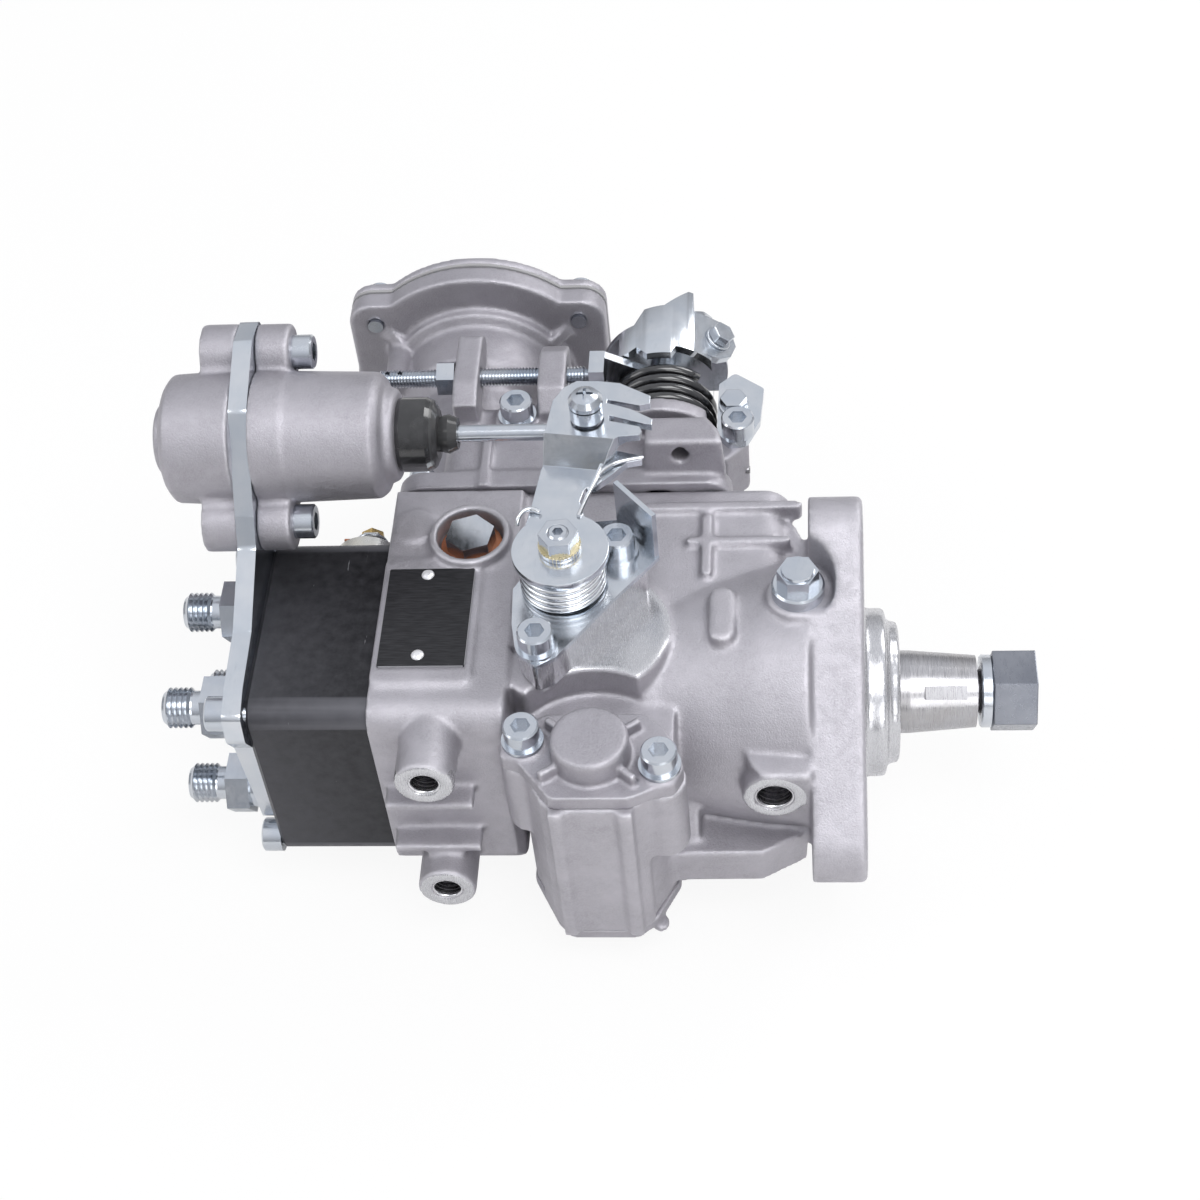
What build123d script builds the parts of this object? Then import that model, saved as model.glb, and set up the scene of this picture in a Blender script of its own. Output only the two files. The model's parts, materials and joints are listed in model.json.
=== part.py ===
from build123d import *
from math import atan2, cos, degrees, hypot, pi, radians, sin, sqrt
import os

# Distributor injection pump for a four-cylinder diesel engine.
# X runs along the drive shaft towards its nut, Y towards the boost housing, Z towards the
# cold-start lever. The origin is on the shaft axis at the mounting flange's outer face. Millimetres.

# ---------------------------------------------------------------- driving dimensions
running = 0.04            # radial clearance of a shaft or piston in its bore
easy = 0.30               # clearance round a part that is only near another

flange_thick = 15.5
ear_pitch_radius = 50.0
ear_radius = 12.0
ear_angles = (66.0, -54.0, -174.0)
ear_hole_radius = 4.5
pilot_radius = 25.0
pilot_length = 6.8
nose_radius = 21.0
nose_length = 3.8

shaft_radius = 12.3
taper_end_radius = 10.7
taper_start = 13.6
taper_length = 19.7
thread_radius = 7.0
shaft_end = 50.6
washer_radius = 10.8
washer_thick = 3.4
nut_flats = 22.0
nut_length = 12.6
key_width = 4.0
key_length = 12.0
key_angle = 41.0
key_stand = 1.5
key_sink = 3.5
key_start = 18.0

body_back = -140.5        # face that carries the distributor head
cavity_start = -130.0     # cavity behind the rear wall that the head's spigot passes through
bush_wall = 2.5
bush_front = -6.0
seal_radius = 17.5
seal_length = 8.0
barrel_radius = 34.0
barrel_flange_radius = 39.0
cavity_radius = 30.0
block_half = 36.0
block_front = -101.0
block_low = -37.0
chamber_half = 34.0
chamber_wall = 5.0
chamber_front = -20.0
deck = 52.0               # height (Y) of the joint between body and governor cover

boss_x = -77.5            # round boss that carries the cold-start lever
boss_y = -4.0
boss_radius = 22.5
boss_top = 35.0

timing_x = -76.5
timing_y = -45.0
timing_bore_radius = 12.0
timing_top = 24.4
timing_low = -36.0
timing_wall_y = -61.0
timing_plate_thick = 5.0
timing_disc_radius = 11.0
timing_disc_height = 8.6
timing_screws = ((-95.8, -40.6), (-57.2, -49.4))

support_x = -123.0        # the two tapped bosses of the rear support bracket
support_face = -53.0
support_spread = 26.0
support_radius = 8.6
support_hole_radius = 4.25
support_hole_depth = 15.0

return_x = -26.0
return_z = 7.0
return_face = -44.0
return_radius = 9.3
return_hole_radius = 5.3
return_depth = 16.0

inlet_x = -18.7
inlet_y = 3.0
inlet_face = 42.0
inlet_radius = 9.2
inlet_hole_radius = 4.25

cup_x = -115.7
cup_y = 30.0
cup_radius = 12.2
cup_bore = 10.0
cup_top = 40.0
cup_floor = 33.0

pad_centre = (-125.9, -1.0)
pad_size = (29.2, 48.0)
pad_top = block_half + 1.2
plate_size = (25.6, 37.4)
plate_thick = 0.8
rivet_radius = 2.0
rivet_spots = ((-127.0, 15.0), (-127.0, -15.6))

head_half = 34.5
head_length = 35.5
head_corner = 7.0
head_spigot_radius = 22.0
head_spigot_length = 10.0
head_screw_pitch = 29.8
valve_pitch = 18.5
valve_tip = -204.2
plunger_radius = 6.0
barrel_sleeve_radius = 11.0

bracket_thick = 5.5

cover_low_x = -141.0
cover_high_x = -38.0
cover_half_low = -34.0
cover_half_high = 37.0
cover_flange_thick = 7.0
cover_top = 88.0
cover_wall = 4.0
cover_body_low_x = -128.0
cover_body_high_x = -50.5
cover_body_low_z = -31.0
cover_screw_spots = ((-134.5, 30.0), (-134.5, -27.5), (-45.0, 30.0), (-45.0, -27.5))

boost_x = -122.8
boost_z = 9.0
boost_flange_y = 130.0
boost_flange_thick = 7.5
boost_cover_thick = 3.6
boost_flange_radius = 43.0
boost_bolt_x = 33.75
boost_bolt_z = 24.65
boost_lobe_radius = 8.8
diaphragm_thick = 1.0
stem_radius = 4.0

throttle_x = -60.5
throttle_z = 26.0
throttle_radius = 5.0
throttle_boss_radius = 9.5
throttle_boss_top = 92.6
throttle_cup_low = 73.4
throttle_cup_floor = 79.0
throttle_cup_wall = 3.0
throttle_spring_radius = 15.6
throttle_wire = 1.7
throttle_turns = 4

governor_shaft_radius = 3.5
lever_screws = ((-91.6, -20.4), (-70.3, 15.1))

stop_screw_y = 96.0
stop_screw_z = 41.0
stop_screw_radius = 3.0
stop_screw_start = -150.0
stop_screw_tip = -83.5

lever_x = -85.2           # cold-start lever: pivot, disc and arm
lever_y = 3.0
lever_disc_radius = 13.8
lever_top = 62.0
lever_thick = 2.5
post_x = -79.0
rod_y = 45.5
rod_z = 66.0
rod_radius = 2.5

actuator_radius = 19.4
actuator_screw_reach = 25.0
actuator_front_end = -134.5
actuator_back_end = -203.0
actuator_cap_radius = 10.8
boot_radius = 11.0
boot_neck_radius = 5.8
boot_end = -117.3
spring_wire = 2.2

ring_outer = 29.4
ring_inner = 19.0
ring_length = 12.0
roller_radius = 4.5
roller_length = 8.0
roller_pitch_radius = 24.0
cam_plate_radius = 28.0
cam_plate_thick = 6.0
cam_lift = 2.2
drive_gear_radius = 26.6
drive_gear_teeth = 42
carrier_gear_teeth = 30
gear_width = 6.0
rotor_radius = 22.0
pump_ring_radius = 29.6
pump_floor = -45.0
vane_pump_length = 12.0

# ---------------------------------------------------------------- derived places
head_face = body_back - head_length
bracket_face = head_face - bracket_thick
gear_module = 2 * drive_gear_radius / drive_gear_teeth
carrier_gear_radius = gear_module * carrier_gear_teeth / 2
governor_y = drive_gear_radius + carrier_gear_radius
ring_back = timing_x - ring_length / 2 - 2.0
ring_front = ring_back + ring_length
roller_x = ring_back + 2.5
gear_back = ring_front + 2.5
gear_front = gear_back + gear_width
pump_back = pump_floor - vane_pump_length
bush_radius = shaft_radius + bush_wall
spigot_end = body_back + head_spigot_length
cam_face = roller_x - roller_radius - easy - cam_lift
cam_back = cam_face - cam_plate_thick
lever_pivot_x = cup_x
lever_pivot_y = cup_y
nut_seat = shaft_end - nut_length
washer_seat = nut_seat - washer_thick
view_up = atan2(0.656, 0.7545)
actuator_screw_y = actuator_screw_reach * cos(view_up)
actuator_screw_z = actuator_screw_reach * sin(view_up)
throttle_cup_radius = throttle_spring_radius + throttle_wire + 1.0

os.makedirs("parts", exist_ok=True)


# ---------------------------------------------------------------- planes and small makers
def level(y):
    """Plane at height y whose sketch axes are X and Z; a negative extrusion goes up (+Y)."""
    return Plane.XZ.offset(-y)


def across(x, y=0.0, z=0.0):
    """Plane square to the shaft at (x, y, z); its sketch axes are Y and Z."""
    return Plane(origin=(x, y, z), x_dir=(0, 1, 0), z_dir=(1, 0, 0))


def side(z, x=0.0, y=0.0):
    """Plane square to Z at (x, y, z); its sketch axes are X and Y."""
    return Plane(origin=(x, y, z), x_dir=(1, 0, 0), z_dir=(0, 0, 1))


def turned(profile, origin, along):
    """Solid of revolution; the profile holds (distance along the axis, radius) points."""
    out = (0, 0, 1) if abs(along[2]) < 0.5 else (1, 0, 0)
    normal = Vector(*along).cross(Vector(*out))
    plane = Plane(origin=origin, x_dir=along, z_dir=normal)
    with BuildPart() as piece:
        with BuildSketch(plane):
            with BuildLine():
                Polyline(*profile, close=True)
            make_face()
        revolve(axis=Axis(origin, along))
    return piece.part


def ring(origin, along, outer, inner, length):
    """Plain ring or tube that starts at origin and runs along the axis."""
    return turned(((0, inner), (0, outer), (length, outer), (length, inner)), origin, along)


def cap_screw(seat, size, shank, washer=0.0):
    """Socket-head cap screw of thread size; the seat plane's normal points out of the head."""
    base = seat.offset(washer)
    with BuildPart() as screw:
        with BuildSketch(base):
            Circle(0.85 * size)
        extrude(amount=size)
        chamfer(screw.edges().sort_by(Axis(base.origin, base.z_dir))[-1], 0.08 * size)
        with BuildSketch(base.offset(size)):
            RegularPolygon(0.48 * size, 6)
        extrude(amount=-0.5 * size, mode=Mode.SUBTRACT)
        with BuildSketch(base):
            Circle(size / 2)
        extrude(amount=-shank)
        if washer > 0:
            with BuildSketch(seat):
                Circle(size)
            extrude(amount=washer)
    return screw.part


def hex_prism(seat, flats, height, bore=0.0):
    """Hexagon nut or bolt head whose outer corners are turned down at the free end."""
    corner = flats / sqrt(3)
    with BuildPart() as prism:
        with BuildSketch(seat):
            RegularPolygon(flats / 2, 6, major_radius=False)
        extrude(amount=height)
        with BuildSketch(seat):
            Circle(corner + 0.3 * height)
        extrude(amount=height, taper=degrees(atan2(0.3 * height + corner - 0.96 * flats / 2, height)) * 0.55,
                mode=Mode.INTERSECT)
        if bore > 0:
            with BuildSketch(seat):
                Circle(bore)
            extrude(amount=height, mode=Mode.SUBTRACT)
    return prism.part


def thread_profile(start, end, crest, pitch, inner=0.0):
    """Closed profile of a threaded stud drawn as ridges from start to end along its axis."""
    root = crest - 0.55 * pitch
    count = int(abs(end - start) / pitch)
    step = (end - start) / count
    points = [(start, inner), (start, root)]
    for index in range(count):
        points.append((start + (index + 0.5) * step, crest))
        points.append((start + (index + 1) * step, root))
    points.append((end, inner))
    return points


def coil(start, direction, radius, wire, pitch, turns):
    """Round-wire helical spring whose axis starts at start."""
    with BuildPart() as spring:
        with BuildLine():
            path = Helix(pitch=pitch, height=pitch * turns, radius=radius, center=start, direction=direction)
        with BuildSketch(Plane(origin=path @ 0, z_dir=path % 0)):
            Circle(wire / 2)
        sweep(path=path, is_frenet=True)
    return spring.part


def gear_blank(plane, teeth, module, bore, width, phase, backlash):
    """Spur gear with straight-flanked teeth narrowed by the backlash; phase turns the first tooth."""
    pitch_radius = teeth * module / 2
    tip = pitch_radius + module - 0.1
    root = pitch_radius - 1.25 * module
    half_pitch = pi * module / 4 - backlash / 2
    half_tip = half_pitch - 0.55 * module
    half_root = half_pitch + 0.42 * module
    points = []
    for index in range(teeth):
        middle = radians(phase) + 2 * pi * index / teeth
        for radius, offset in ((root, -half_root), (pitch_radius, -half_pitch), (tip, -half_tip),
                               (tip, half_tip), (pitch_radius, half_pitch), (root, half_root)):
            angle = middle + offset / radius
            points.append((radius * cos(angle), radius * sin(angle)))
    with BuildPart() as gear:
        with BuildSketch(plane):
            with BuildLine():
                Polyline(*points, close=True)
            make_face()
            Circle(bore, mode=Mode.SUBTRACT)
        extrude(amount=width)
    return gear.part


# ---------------------------------------------------------------- pump housing
with BuildPart() as pump_housing:
    # mounting flange: three ears joined by straight tangents, pilot and nose
    with BuildSketch(across(0)):
        for angle in ear_angles:
            with Locations((ear_pitch_radius * cos(radians(angle)), ear_pitch_radius * sin(radians(angle)))):
                Circle(ear_radius)
        make_hull()
    extrude(amount=-flange_thick)
    chamfer(pump_housing.faces().sort_by(Axis.X)[-1].edges(), 1.0)
    add(turned(((-2, 0), (-2, pilot_radius), (pilot_length - 0.8, pilot_radius),
                (pilot_length, pilot_radius - 0.8), (pilot_length, nose_radius),
                (pilot_length + nose_length - 0.6, nose_radius),
                (pilot_length + nose_length, nose_radius - 0.6), (pilot_length + nose_length, 0)),
               (0, 0, 0), (1, 0, 0)))
    # barrel round the shaft
    add(turned(((block_front - 1, 0), (block_front - 1, barrel_radius), (-58, barrel_radius),
                (-30, barrel_flange_radius), (-flange_thick, barrel_flange_radius + 1.5), (-flange_thick, 0)),
               (0, 0, 0), (1, 0, 0)))
    # rear block that carries the distributor head
    with BuildSketch(across(body_back, (deck + block_low) / 2)) as block_section:
        Rectangle(deck - block_low, 2 * block_half)
        fillet(block_section.vertices().group_by(Axis.X)[0], 7)
    extrude(amount=block_front - body_back)
    # governor chamber
    with BuildSketch(level(0)) as chamber_plan:
        with Locations(((chamber_front + body_back) / 2, 0)):
            Rectangle(chamber_front - body_back, 2 * chamber_half)
        fillet(chamber_plan.vertices().group_by(Axis.X)[-1], 9)
    extrude(amount=-deck)
    # round boss under the cold-start lever, cut back round the timing bore
    with BuildSketch(side(15)):
        with Locations((boss_x, boss_y)):
            Circle(boss_radius)
        with Locations((-92.5, -18.5)):
            Circle(9.5)
    extrude(amount=boss_top - 15)
    with BuildSketch(side(timing_top, timing_x, timing_y)):
        Circle(26)
    extrude(amount=boss_top, mode=Mode.SUBTRACT)
    # timing-device bore housing with its front ribs and screw bosses
    with BuildSketch(side(timing_low)):
        with BuildLine():
            Polyline((-99, -24), (-99, -41), (-91, -57), (-87, timing_wall_y), (-66, timing_wall_y),
                     (-60.5, -56.5), (-54, -43), (-54, -24), close=True)
        make_face()
        with Locations(((-86.2, timing_wall_y), (-66.8, timing_wall_y))):
            Rectangle(4.0, 3.6)
        with Locations(timing_screws):
            Circle(7.2)
    extrude(amount=timing_top - timing_low)
    with BuildSketch(side(timing_low)):
        with Locations(timing_screws):
            Circle(8.4)
    extrude(amount=-4 - timing_low, mode=Mode.SUBTRACT)
    with BuildSketch(side(timing_low)):
        with BuildLine():
            Polyline((-98, -20), (-98, -41), (-90, -56), (-86, timing_wall_y + 1), (-67, timing_wall_y + 1),
                     (-62, -56), (-55, -43), (-55, -20), close=True)
        make_face()
    extrude(amount=-3.9 - timing_low)
    # web between the timing housing and the flange
    with BuildSketch(side(timing_low + 4)):
        with BuildLine():
            Polyline((-58, -46), (-30, -45.5), (-17, -38), (-flange_thick, -20), (-58, -20), close=True)
        make_face()
    extrude(amount=14)
    with BuildSketch(across(-54, -45, -24)):
        with BuildLine():
            Polyline((0, 0), (16, 26), (16, 0), close=True)
        make_face()
    extrude(amount=6)
    # tapped bosses for the rear support
    with BuildSketch(level(support_face)):
        with Locations((support_x, support_spread), (support_x, -support_spread)):
            Circle(support_radius)
    extrude(amount=-(block_low - support_face + 8))
    # ribs between the support bosses, and the shoulders that brace the flange
    for z in (4.3, -16.4):
        with BuildSketch(side(z - 1.5)):
            with Locations((-125.3, (block_low + support_face + 9) / 2)):
                Rectangle(26, block_low - support_face - 7)
        extrude(amount=3)
    with BuildSketch(side(10)):
        with BuildLine():
            Polyline((-45, 10), (-45, deck), (-31, 50.5), (-24, 45.5), (-19, 39), (-flange_thick, 30),
                     (-flange_thick, 10), close=True)
        make_face()
    extrude(amount=21)
    with BuildSketch(side(3)):
        with BuildLine():
            Polyline((-36, -28), (-33, -39), (-29, return_face), (-flange_thick, return_face),
                     (-flange_thick, -28), close=True)
        make_face()
    extrude(amount=14)
    # fuel return and inlet ports, pivot-plug cup and name-plate pad
    with BuildSketch(level(return_face)):
        with Locations((return_x, return_z)):
            Circle(return_radius)
    extrude(amount=-20)
    with BuildSketch(side(15)):
        with Locations((inlet_x, inlet_y)):
            Circle(inlet_radius)
    extrude(amount=inlet_face - 15)
    with BuildSketch(side(15)):
        with Locations((cup_x, cup_y)):
            Circle(cup_radius)
    extrude(amount=cup_top - 15)
    with BuildSketch(side(block_half - 2)):
        with Locations((-133.0, 36.5)):
            Circle(6.5)
    extrude(amount=3)
    with BuildSketch(side(block_half - 2)) as pad_plan:
        with Locations(pad_centre):
            Rectangle(*pad_size)
        fillet(pad_plan.vertices(), 2.5)
    extrude(amount=pad_top - block_half + 2)
    # ribs on the chamber wall
    with BuildSketch(side(chamber_half - 4)):
        with Locations((-45.3, 28)):
            RectangleRounded(3.0, 25, 1.4)
        with Locations((-36, 29.5)):
            RectangleRounded(31, 3.0, 1.4)
        with Locations((-41, 43.5)):
            RectangleRounded(48, 3.0, 1.4)
    extrude(amount=6)
    with BuildSketch(side(chamber_half - 4)):
        with Locations((-40.4, -1.8)):
            RectangleRounded(7.4, 20, 3.2)
    extrude(amount=9.4)
    # shaft cavity, vane-pump bore, bush bore and seal seat
    add(turned(((body_back - 1, 0), (body_back - 1, head_spigot_radius + 0.05),
                (cavity_start, head_spigot_radius + 0.05), (cavity_start, cavity_radius),
                (pump_back - 2, cavity_radius), (pump_back - 2, pump_ring_radius + 0.05),
                (pump_floor, pump_ring_radius + 0.05), (pump_floor, bush_radius),
                (bush_front, bush_radius), (bush_front, shaft_radius + 0.5),
                (pilot_length + nose_length - seal_length, shaft_radius + 0.5),
                (pilot_length + nose_length - seal_length, seal_radius),
                (pilot_length + nose_length + 1, seal_radius), (pilot_length + nose_length + 1, 0)),
               (0, 0, 0), (1, 0, 0)), mode=Mode.SUBTRACT)
    # governor chamber, open at the deck
    with BuildSketch(level(0)):
        with Locations(((cavity_start + pump_back - 2) / 2, 0)):
            Rectangle(pump_back - 2 - cavity_start, 2 * (chamber_half - chamber_wall))
    extrude(amount=-deck, mode=Mode.SUBTRACT)
    with BuildSketch(level(34.5)):
        with Locations(((pump_back - 2 - 42) / 2, 0)):
            Rectangle(-42 - pump_back + 4, 2 * (chamber_half - chamber_wall))
    extrude(amount=-deck, mode=Mode.SUBTRACT)
    # governor shaft bore
    with BuildSketch(across(-45, governor_y)):
        Circle(governor_shaft_radius)
    extrude(amount=20, mode=Mode.SUBTRACT)
    # screw holes: head, deck, timing covers, cold-start block
    for y in (-head_screw_pitch, head_screw_pitch):
        for z in (-head_screw_pitch, head_screw_pitch):
            with BuildSketch(across(body_back, y, z)):
                Circle(3.05)
            extrude(amount=9.5, mode=Mode.SUBTRACT)
    with BuildSketch(level(deck)):
        with Locations(cover_screw_spots):
            Circle(2.55)
    extrude(amount=10, mode=Mode.SUBTRACT)
    with BuildSketch(side(timing_top)):
        with Locations(timing_screws):
            Circle(3.05)
    extrude(amount=-18, mode=Mode.SUBTRACT)
    with BuildSketch(side(boss_top)):
        with Locations(lever_screws):
            Circle(3.05)
    extrude(amount=-4, mode=Mode.SUBTRACT)
    # timing bore, its slot to the roller ring and the advance-lever hole
    with BuildSketch(side(timing_low - 1, timing_x, timing_y)):
        Circle(timing_bore_radius)
    extrude(amount=timing_top - timing_low + 2, mode=Mode.SUBTRACT)
    with BuildSketch(level(timing_y)):
        with Locations((timing_x, 0)):
            SlotOverall(18, 11, rotation=90)
    extrude(amount=-25, mode=Mode.SUBTRACT)
    with BuildSketch(side(31)):
        with Locations((lever_x, lever_y)):
            Circle(5.0 + running)
    extrude(amount=20, mode=Mode.SUBTRACT)
    # ports, pivot-plug seats, mounting and screw holes
    with BuildSketch(side(inlet_face)):
        with Locations((inlet_x, inlet_y)):
            Circle(inlet_radius + 1.3)
    extrude(amount=30, mode=Mode.SUBTRACT)
    with BuildSketch(side(inlet_face)):
        with Locations((inlet_x, inlet_y)):
            Circle(inlet_hole_radius)
    extrude(amount=-18, mode=Mode.SUBTRACT)
    with BuildSketch(level(return_face)):
        with Locations((return_x, return_z)):
            Circle(return_hole_radius)
    extrude(amount=-return_depth, mode=Mode.SUBTRACT)
    with BuildSketch(level(support_face)):
        with Locations((support_x, support_spread), (support_x, -support_spread)):
            Circle(support_hole_radius)
    extrude(amount=-support_hole_depth, mode=Mode.SUBTRACT)
    with BuildSketch(side(cup_floor)):
        with Locations((cup_x, cup_y)):
            Circle(cup_bore)
    extrude(amount=10, mode=Mode.SUBTRACT)
    with BuildSketch(side(-block_half - 1)):
        with Locations((cup_x, cup_y)):
            Circle(6.0)
    extrude(amount=2 * block_half + 2, mode=Mode.SUBTRACT)
    with BuildSketch(across(0)):
        for angle in ear_angles:
            with Locations((ear_pitch_radius * cos(radians(angle)), ear_pitch_radius * sin(radians(angle)))):
                Circle(ear_hole_radius)
    extrude(amount=-flange_thick, mode=Mode.SUBTRACT)
pump_housing.part.label = "pump_housing"
export_step(pump_housing.part, "parts/pump_housing.step")

# ---------------------------------------------------------------- governor cover
boost_seat_y = cover_top + 1.0
bracket_plate_z = 31.5
top_screw = (-105.3, 81.5)
bracket_screw = (-36.5, 77.0)
cover_mid_z = (cover_half_low + cover_half_high) / 2
with BuildPart() as governor_cover:
    with BuildSketch(level(deck)) as cover_plan:
        with Locations(((cover_low_x + cover_high_x) / 2, cover_mid_z)):
            Rectangle(cover_high_x - cover_low_x, cover_half_high - cover_half_low)
        fillet(cover_plan.vertices(), 8)
    extrude(amount=-cover_flange_thick)
    with BuildSketch(level(deck)) as cover_body_plan:
        with Locations(((cover_body_low_x + cover_body_high_x) / 2, (cover_body_low_z + cover_half_high - 1) / 2)):
            Rectangle(cover_body_high_x - cover_body_low_x, cover_half_high - 1 - cover_body_low_z)
        fillet(cover_body_plan.vertices(), 7)
    extrude(amount=-(cover_top - deck))
    fillet(governor_cover.faces().sort_by(Axis.Y)[-1].edges(), 2.5)
    # round seat of the boost housing
    add(ring((boost_x, deck, boost_z), (0, 1, 0), 19.0, 0.0, boost_seat_y - deck))
    # lug and hooked lug that carry the full-load stop screw
    with BuildSketch(across(-125.5)):
        with BuildLine():
            Polyline((80, 28), (80, 44), (88, 47), (109, 47), (114, 42.5), (114, 38.5), (110, 35.6), (89.6, 35.6),
                     (89.6, 28), close=True)
        make_face()
    extrude(amount=8)
    with BuildSketch(across(-99)):
        with BuildLine():
            Polyline((80, 28), (80, 40), (86, 46), (101, 47), (108, 43), (108, 33), (101, 30), (101, 28), close=True)
        make_face()
    extrude(amount=9)
    # corner block with its tapped hole, throttle boss and the pad of the top screw
    with BuildSketch(side(cover_half_high - 1.5)) as block_plan:
        with BuildLine():
            Polyline((-65, 56), (-39.5, 56), (-41, 63), (-45, 69), (-65, 69), close=True)
        make_face()
    extrude(amount=14, taper=4)
    with BuildSketch(level(deck + cover_flange_thick)):
        with Locations((throttle_x, throttle_z)):
            Circle(throttle_boss_radius)
    extrude(amount=-(throttle_boss_top - deck - cover_flange_thick))
    with BuildSketch(side(cover_half_high - 3)):
        with Locations(top_screw):
            Circle(7.5)
    extrude(amount=3.6)
    with BuildSketch(side(cover_half_high - 3)):
        with Locations((-84, 62), (-114, 62)):
            Rectangle(3.0, 20)
    extrude(amount=3.6)
    with BuildSketch(side(12)):
        with BuildLine():
            Polyline((-58, 67), (-58, 86), (-48, 88), (-41, 91), (-34, 84), (-33, 74), (-40, 67), close=True)
        make_face()
    extrude(amount=bracket_plate_z - 12)
    # hollow inside
    with BuildSketch(level(deck)):
        with Locations(((-124 - 54.5) / 2, 1)):
            Rectangle(69.5, 58)
    extrude(amount=-(cover_top - cover_wall - deck), mode=Mode.SUBTRACT)
    with BuildSketch(level(deck)):
        with Locations((throttle_x, throttle_z)):
            Circle(7.5)
    extrude(amount=-(cover_top - cover_wall - deck), mode=Mode.SUBTRACT)
    # cup that holds the throttle spring, open towards +Z
    with BuildSketch(level(throttle_cup_low)):
        with Locations((throttle_x, throttle_z)):
            Circle(throttle_cup_radius + throttle_cup_wall)
    extrude(amount=-(cover_top - throttle_cup_low))
    with BuildSketch(level(throttle_cup_floor)):
        with Locations((throttle_x, cover_half_high - 1 + 10)):
            Rectangle(2 * (throttle_cup_radius + throttle_cup_wall), 20)
    extrude(amount=-20, mode=Mode.SUBTRACT)
    with BuildSketch(level(throttle_cup_floor)):
        with Locations((throttle_x, throttle_z)):
            Circle(throttle_cup_radius)
            Circle(throttle_boss_radius, mode=Mode.SUBTRACT)
    extrude(amount=-40, mode=Mode.SUBTRACT)
    with BuildSketch(side(bracket_plate_z)):
        with Locations((-36.0, 88.0)):
            Rectangle(20, 36)
    extrude(amount=20, mode=Mode.SUBTRACT)
    with BuildSketch(level(deck)):
        with Locations((throttle_x, throttle_z)):
            Circle(throttle_radius + running)
    extrude(amount=-60, mode=Mode.SUBTRACT)
    with BuildSketch(level(deck)):
        with Locations((boost_x, boost_z)):
            Circle(stem_radius + 3)
    extrude(amount=-50, mode=Mode.SUBTRACT)
    # screw holes
    with BuildSketch(level(deck)):
        with Locations(cover_screw_spots):
            Circle(2.55)
    extrude(amount=-cover_flange_thick, mode=Mode.SUBTRACT)
    with BuildSketch(across(-126, stop_screw_y, stop_screw_z)):
        Circle(stop_screw_radius + 0.05)
    extrude(amount=10, mode=Mode.SUBTRACT)
    with BuildSketch(across(-100, stop_screw_y, stop_screw_z)):
        Circle(stop_screw_radius + 0.7)
    extrude(amount=12, mode=Mode.SUBTRACT)
    with BuildSketch(side(cover_half_high + 1)):
        with Locations(top_screw):
            Circle(3.05)
    extrude(amount=-10, mode=Mode.SUBTRACT)
    with BuildSketch(side(bracket_plate_z)):
        with Locations(bracket_screw):
            Circle(3.05)
    extrude(amount=-12, mode=Mode.SUBTRACT)
    with BuildSketch(level(56)):
        with Locations((-53.5, 44)):
            Circle(2.6)
    extrude(amount=-10, mode=Mode.SUBTRACT)
governor_cover.part.label = "governor_cover"
export_step(governor_cover.part, "parts/governor_cover.step")

# ---------------------------------------------------------------- distributor head and what it carries
screw_grid = [(y, z) for y in (-head_screw_pitch, head_screw_pitch) for z in (-head_screw_pitch, head_screw_pitch)]
valve_grid = [(y, z) for y in (-valve_pitch, valve_pitch) for z in (-valve_pitch, valve_pitch)]
sleeve_back = -168.0
valve_depth = 8.0
valve_seat = head_face + valve_depth
plunger_spring_z = 17.0
solenoid_x = -155.0
solenoid_z = 0.0
solenoid_low = 24.0
with BuildPart() as distributor_head:
    with BuildSketch(across(head_face)) as head_section:
        Rectangle(2 * head_half, 2 * head_half)
        fillet(head_section.vertices(), head_corner)
    extrude(amount=head_length)
    chamfer(distributor_head.faces().sort_by(Axis.X)[0].edges(), 1.2)
    with BuildSketch(across(body_back)):
        Circle(head_spigot_radius)
    extrude(amount=head_spigot_length)
    with BuildSketch(across(spigot_end)):
        with Locations((0, plunger_spring_z), (0, -plunger_spring_z)):
            Circle(2.6)
    extrude(amount=18)
    with BuildSketch(across(sleeve_back)):
        Circle(barrel_sleeve_radius)
    extrude(amount=spigot_end - sleeve_back, mode=Mode.SUBTRACT)
    with BuildSketch(across(head_face)):
        Circle(7.0)
    extrude(amount=sleeve_back - head_face, mode=Mode.SUBTRACT)
    for y, z in valve_grid:
        with BuildSketch(across(head_face, y, z)):
            Circle(7.5)
        extrude(amount=valve_depth, mode=Mode.SUBTRACT)
    for y, z in screw_grid:
        with BuildSketch(across(head_face, y, z)):
            Circle(3.05)
        extrude(amount=head_length, mode=Mode.SUBTRACT)
    with BuildSketch(level(solenoid_low)):
        with Locations((solenoid_x, solenoid_z)):
            Circle(8.0)
    extrude(amount=-20, mode=Mode.SUBTRACT)
    with BuildSketch(level(14)):
        with Locations((solenoid_x, solenoid_z)):
            Circle(5.2)
    extrude(amount=-14, mode=Mode.SUBTRACT)
distributor_head.part.label = "distributor_head"
export_step(distributor_head.part, "parts/distributor_head.step")

with BuildPart() as delivery_valves:
    for y, z in valve_grid:
        seat = (valve_seat, y, z)
        tip = valve_seat - valve_tip
        add(turned([(0, 2.0), (0, 7.45), (17.2, 7.45), (17.2, 5.0), (tip - 9.0, 5.0)]
                   + thread_profile(tip - 8.5, tip - 0.8, 6.0, 1.5, 2.0)[1:-1]
                   + [(tip, 4.6), (tip, 3.4), (tip - 2.4, 2.0)], seat, (-1, 0, 0)))
        add(hex_prism(Plane(origin=(valve_seat - 16.8, y, z), x_dir=(0, 1, 0), z_dir=(-1, 0, 0)), 17.0, 7.0, 4.0))
delivery_valves.part.label = "delivery_valves"
export_step(delivery_valves.part, "parts/delivery_valves.step")

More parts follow.
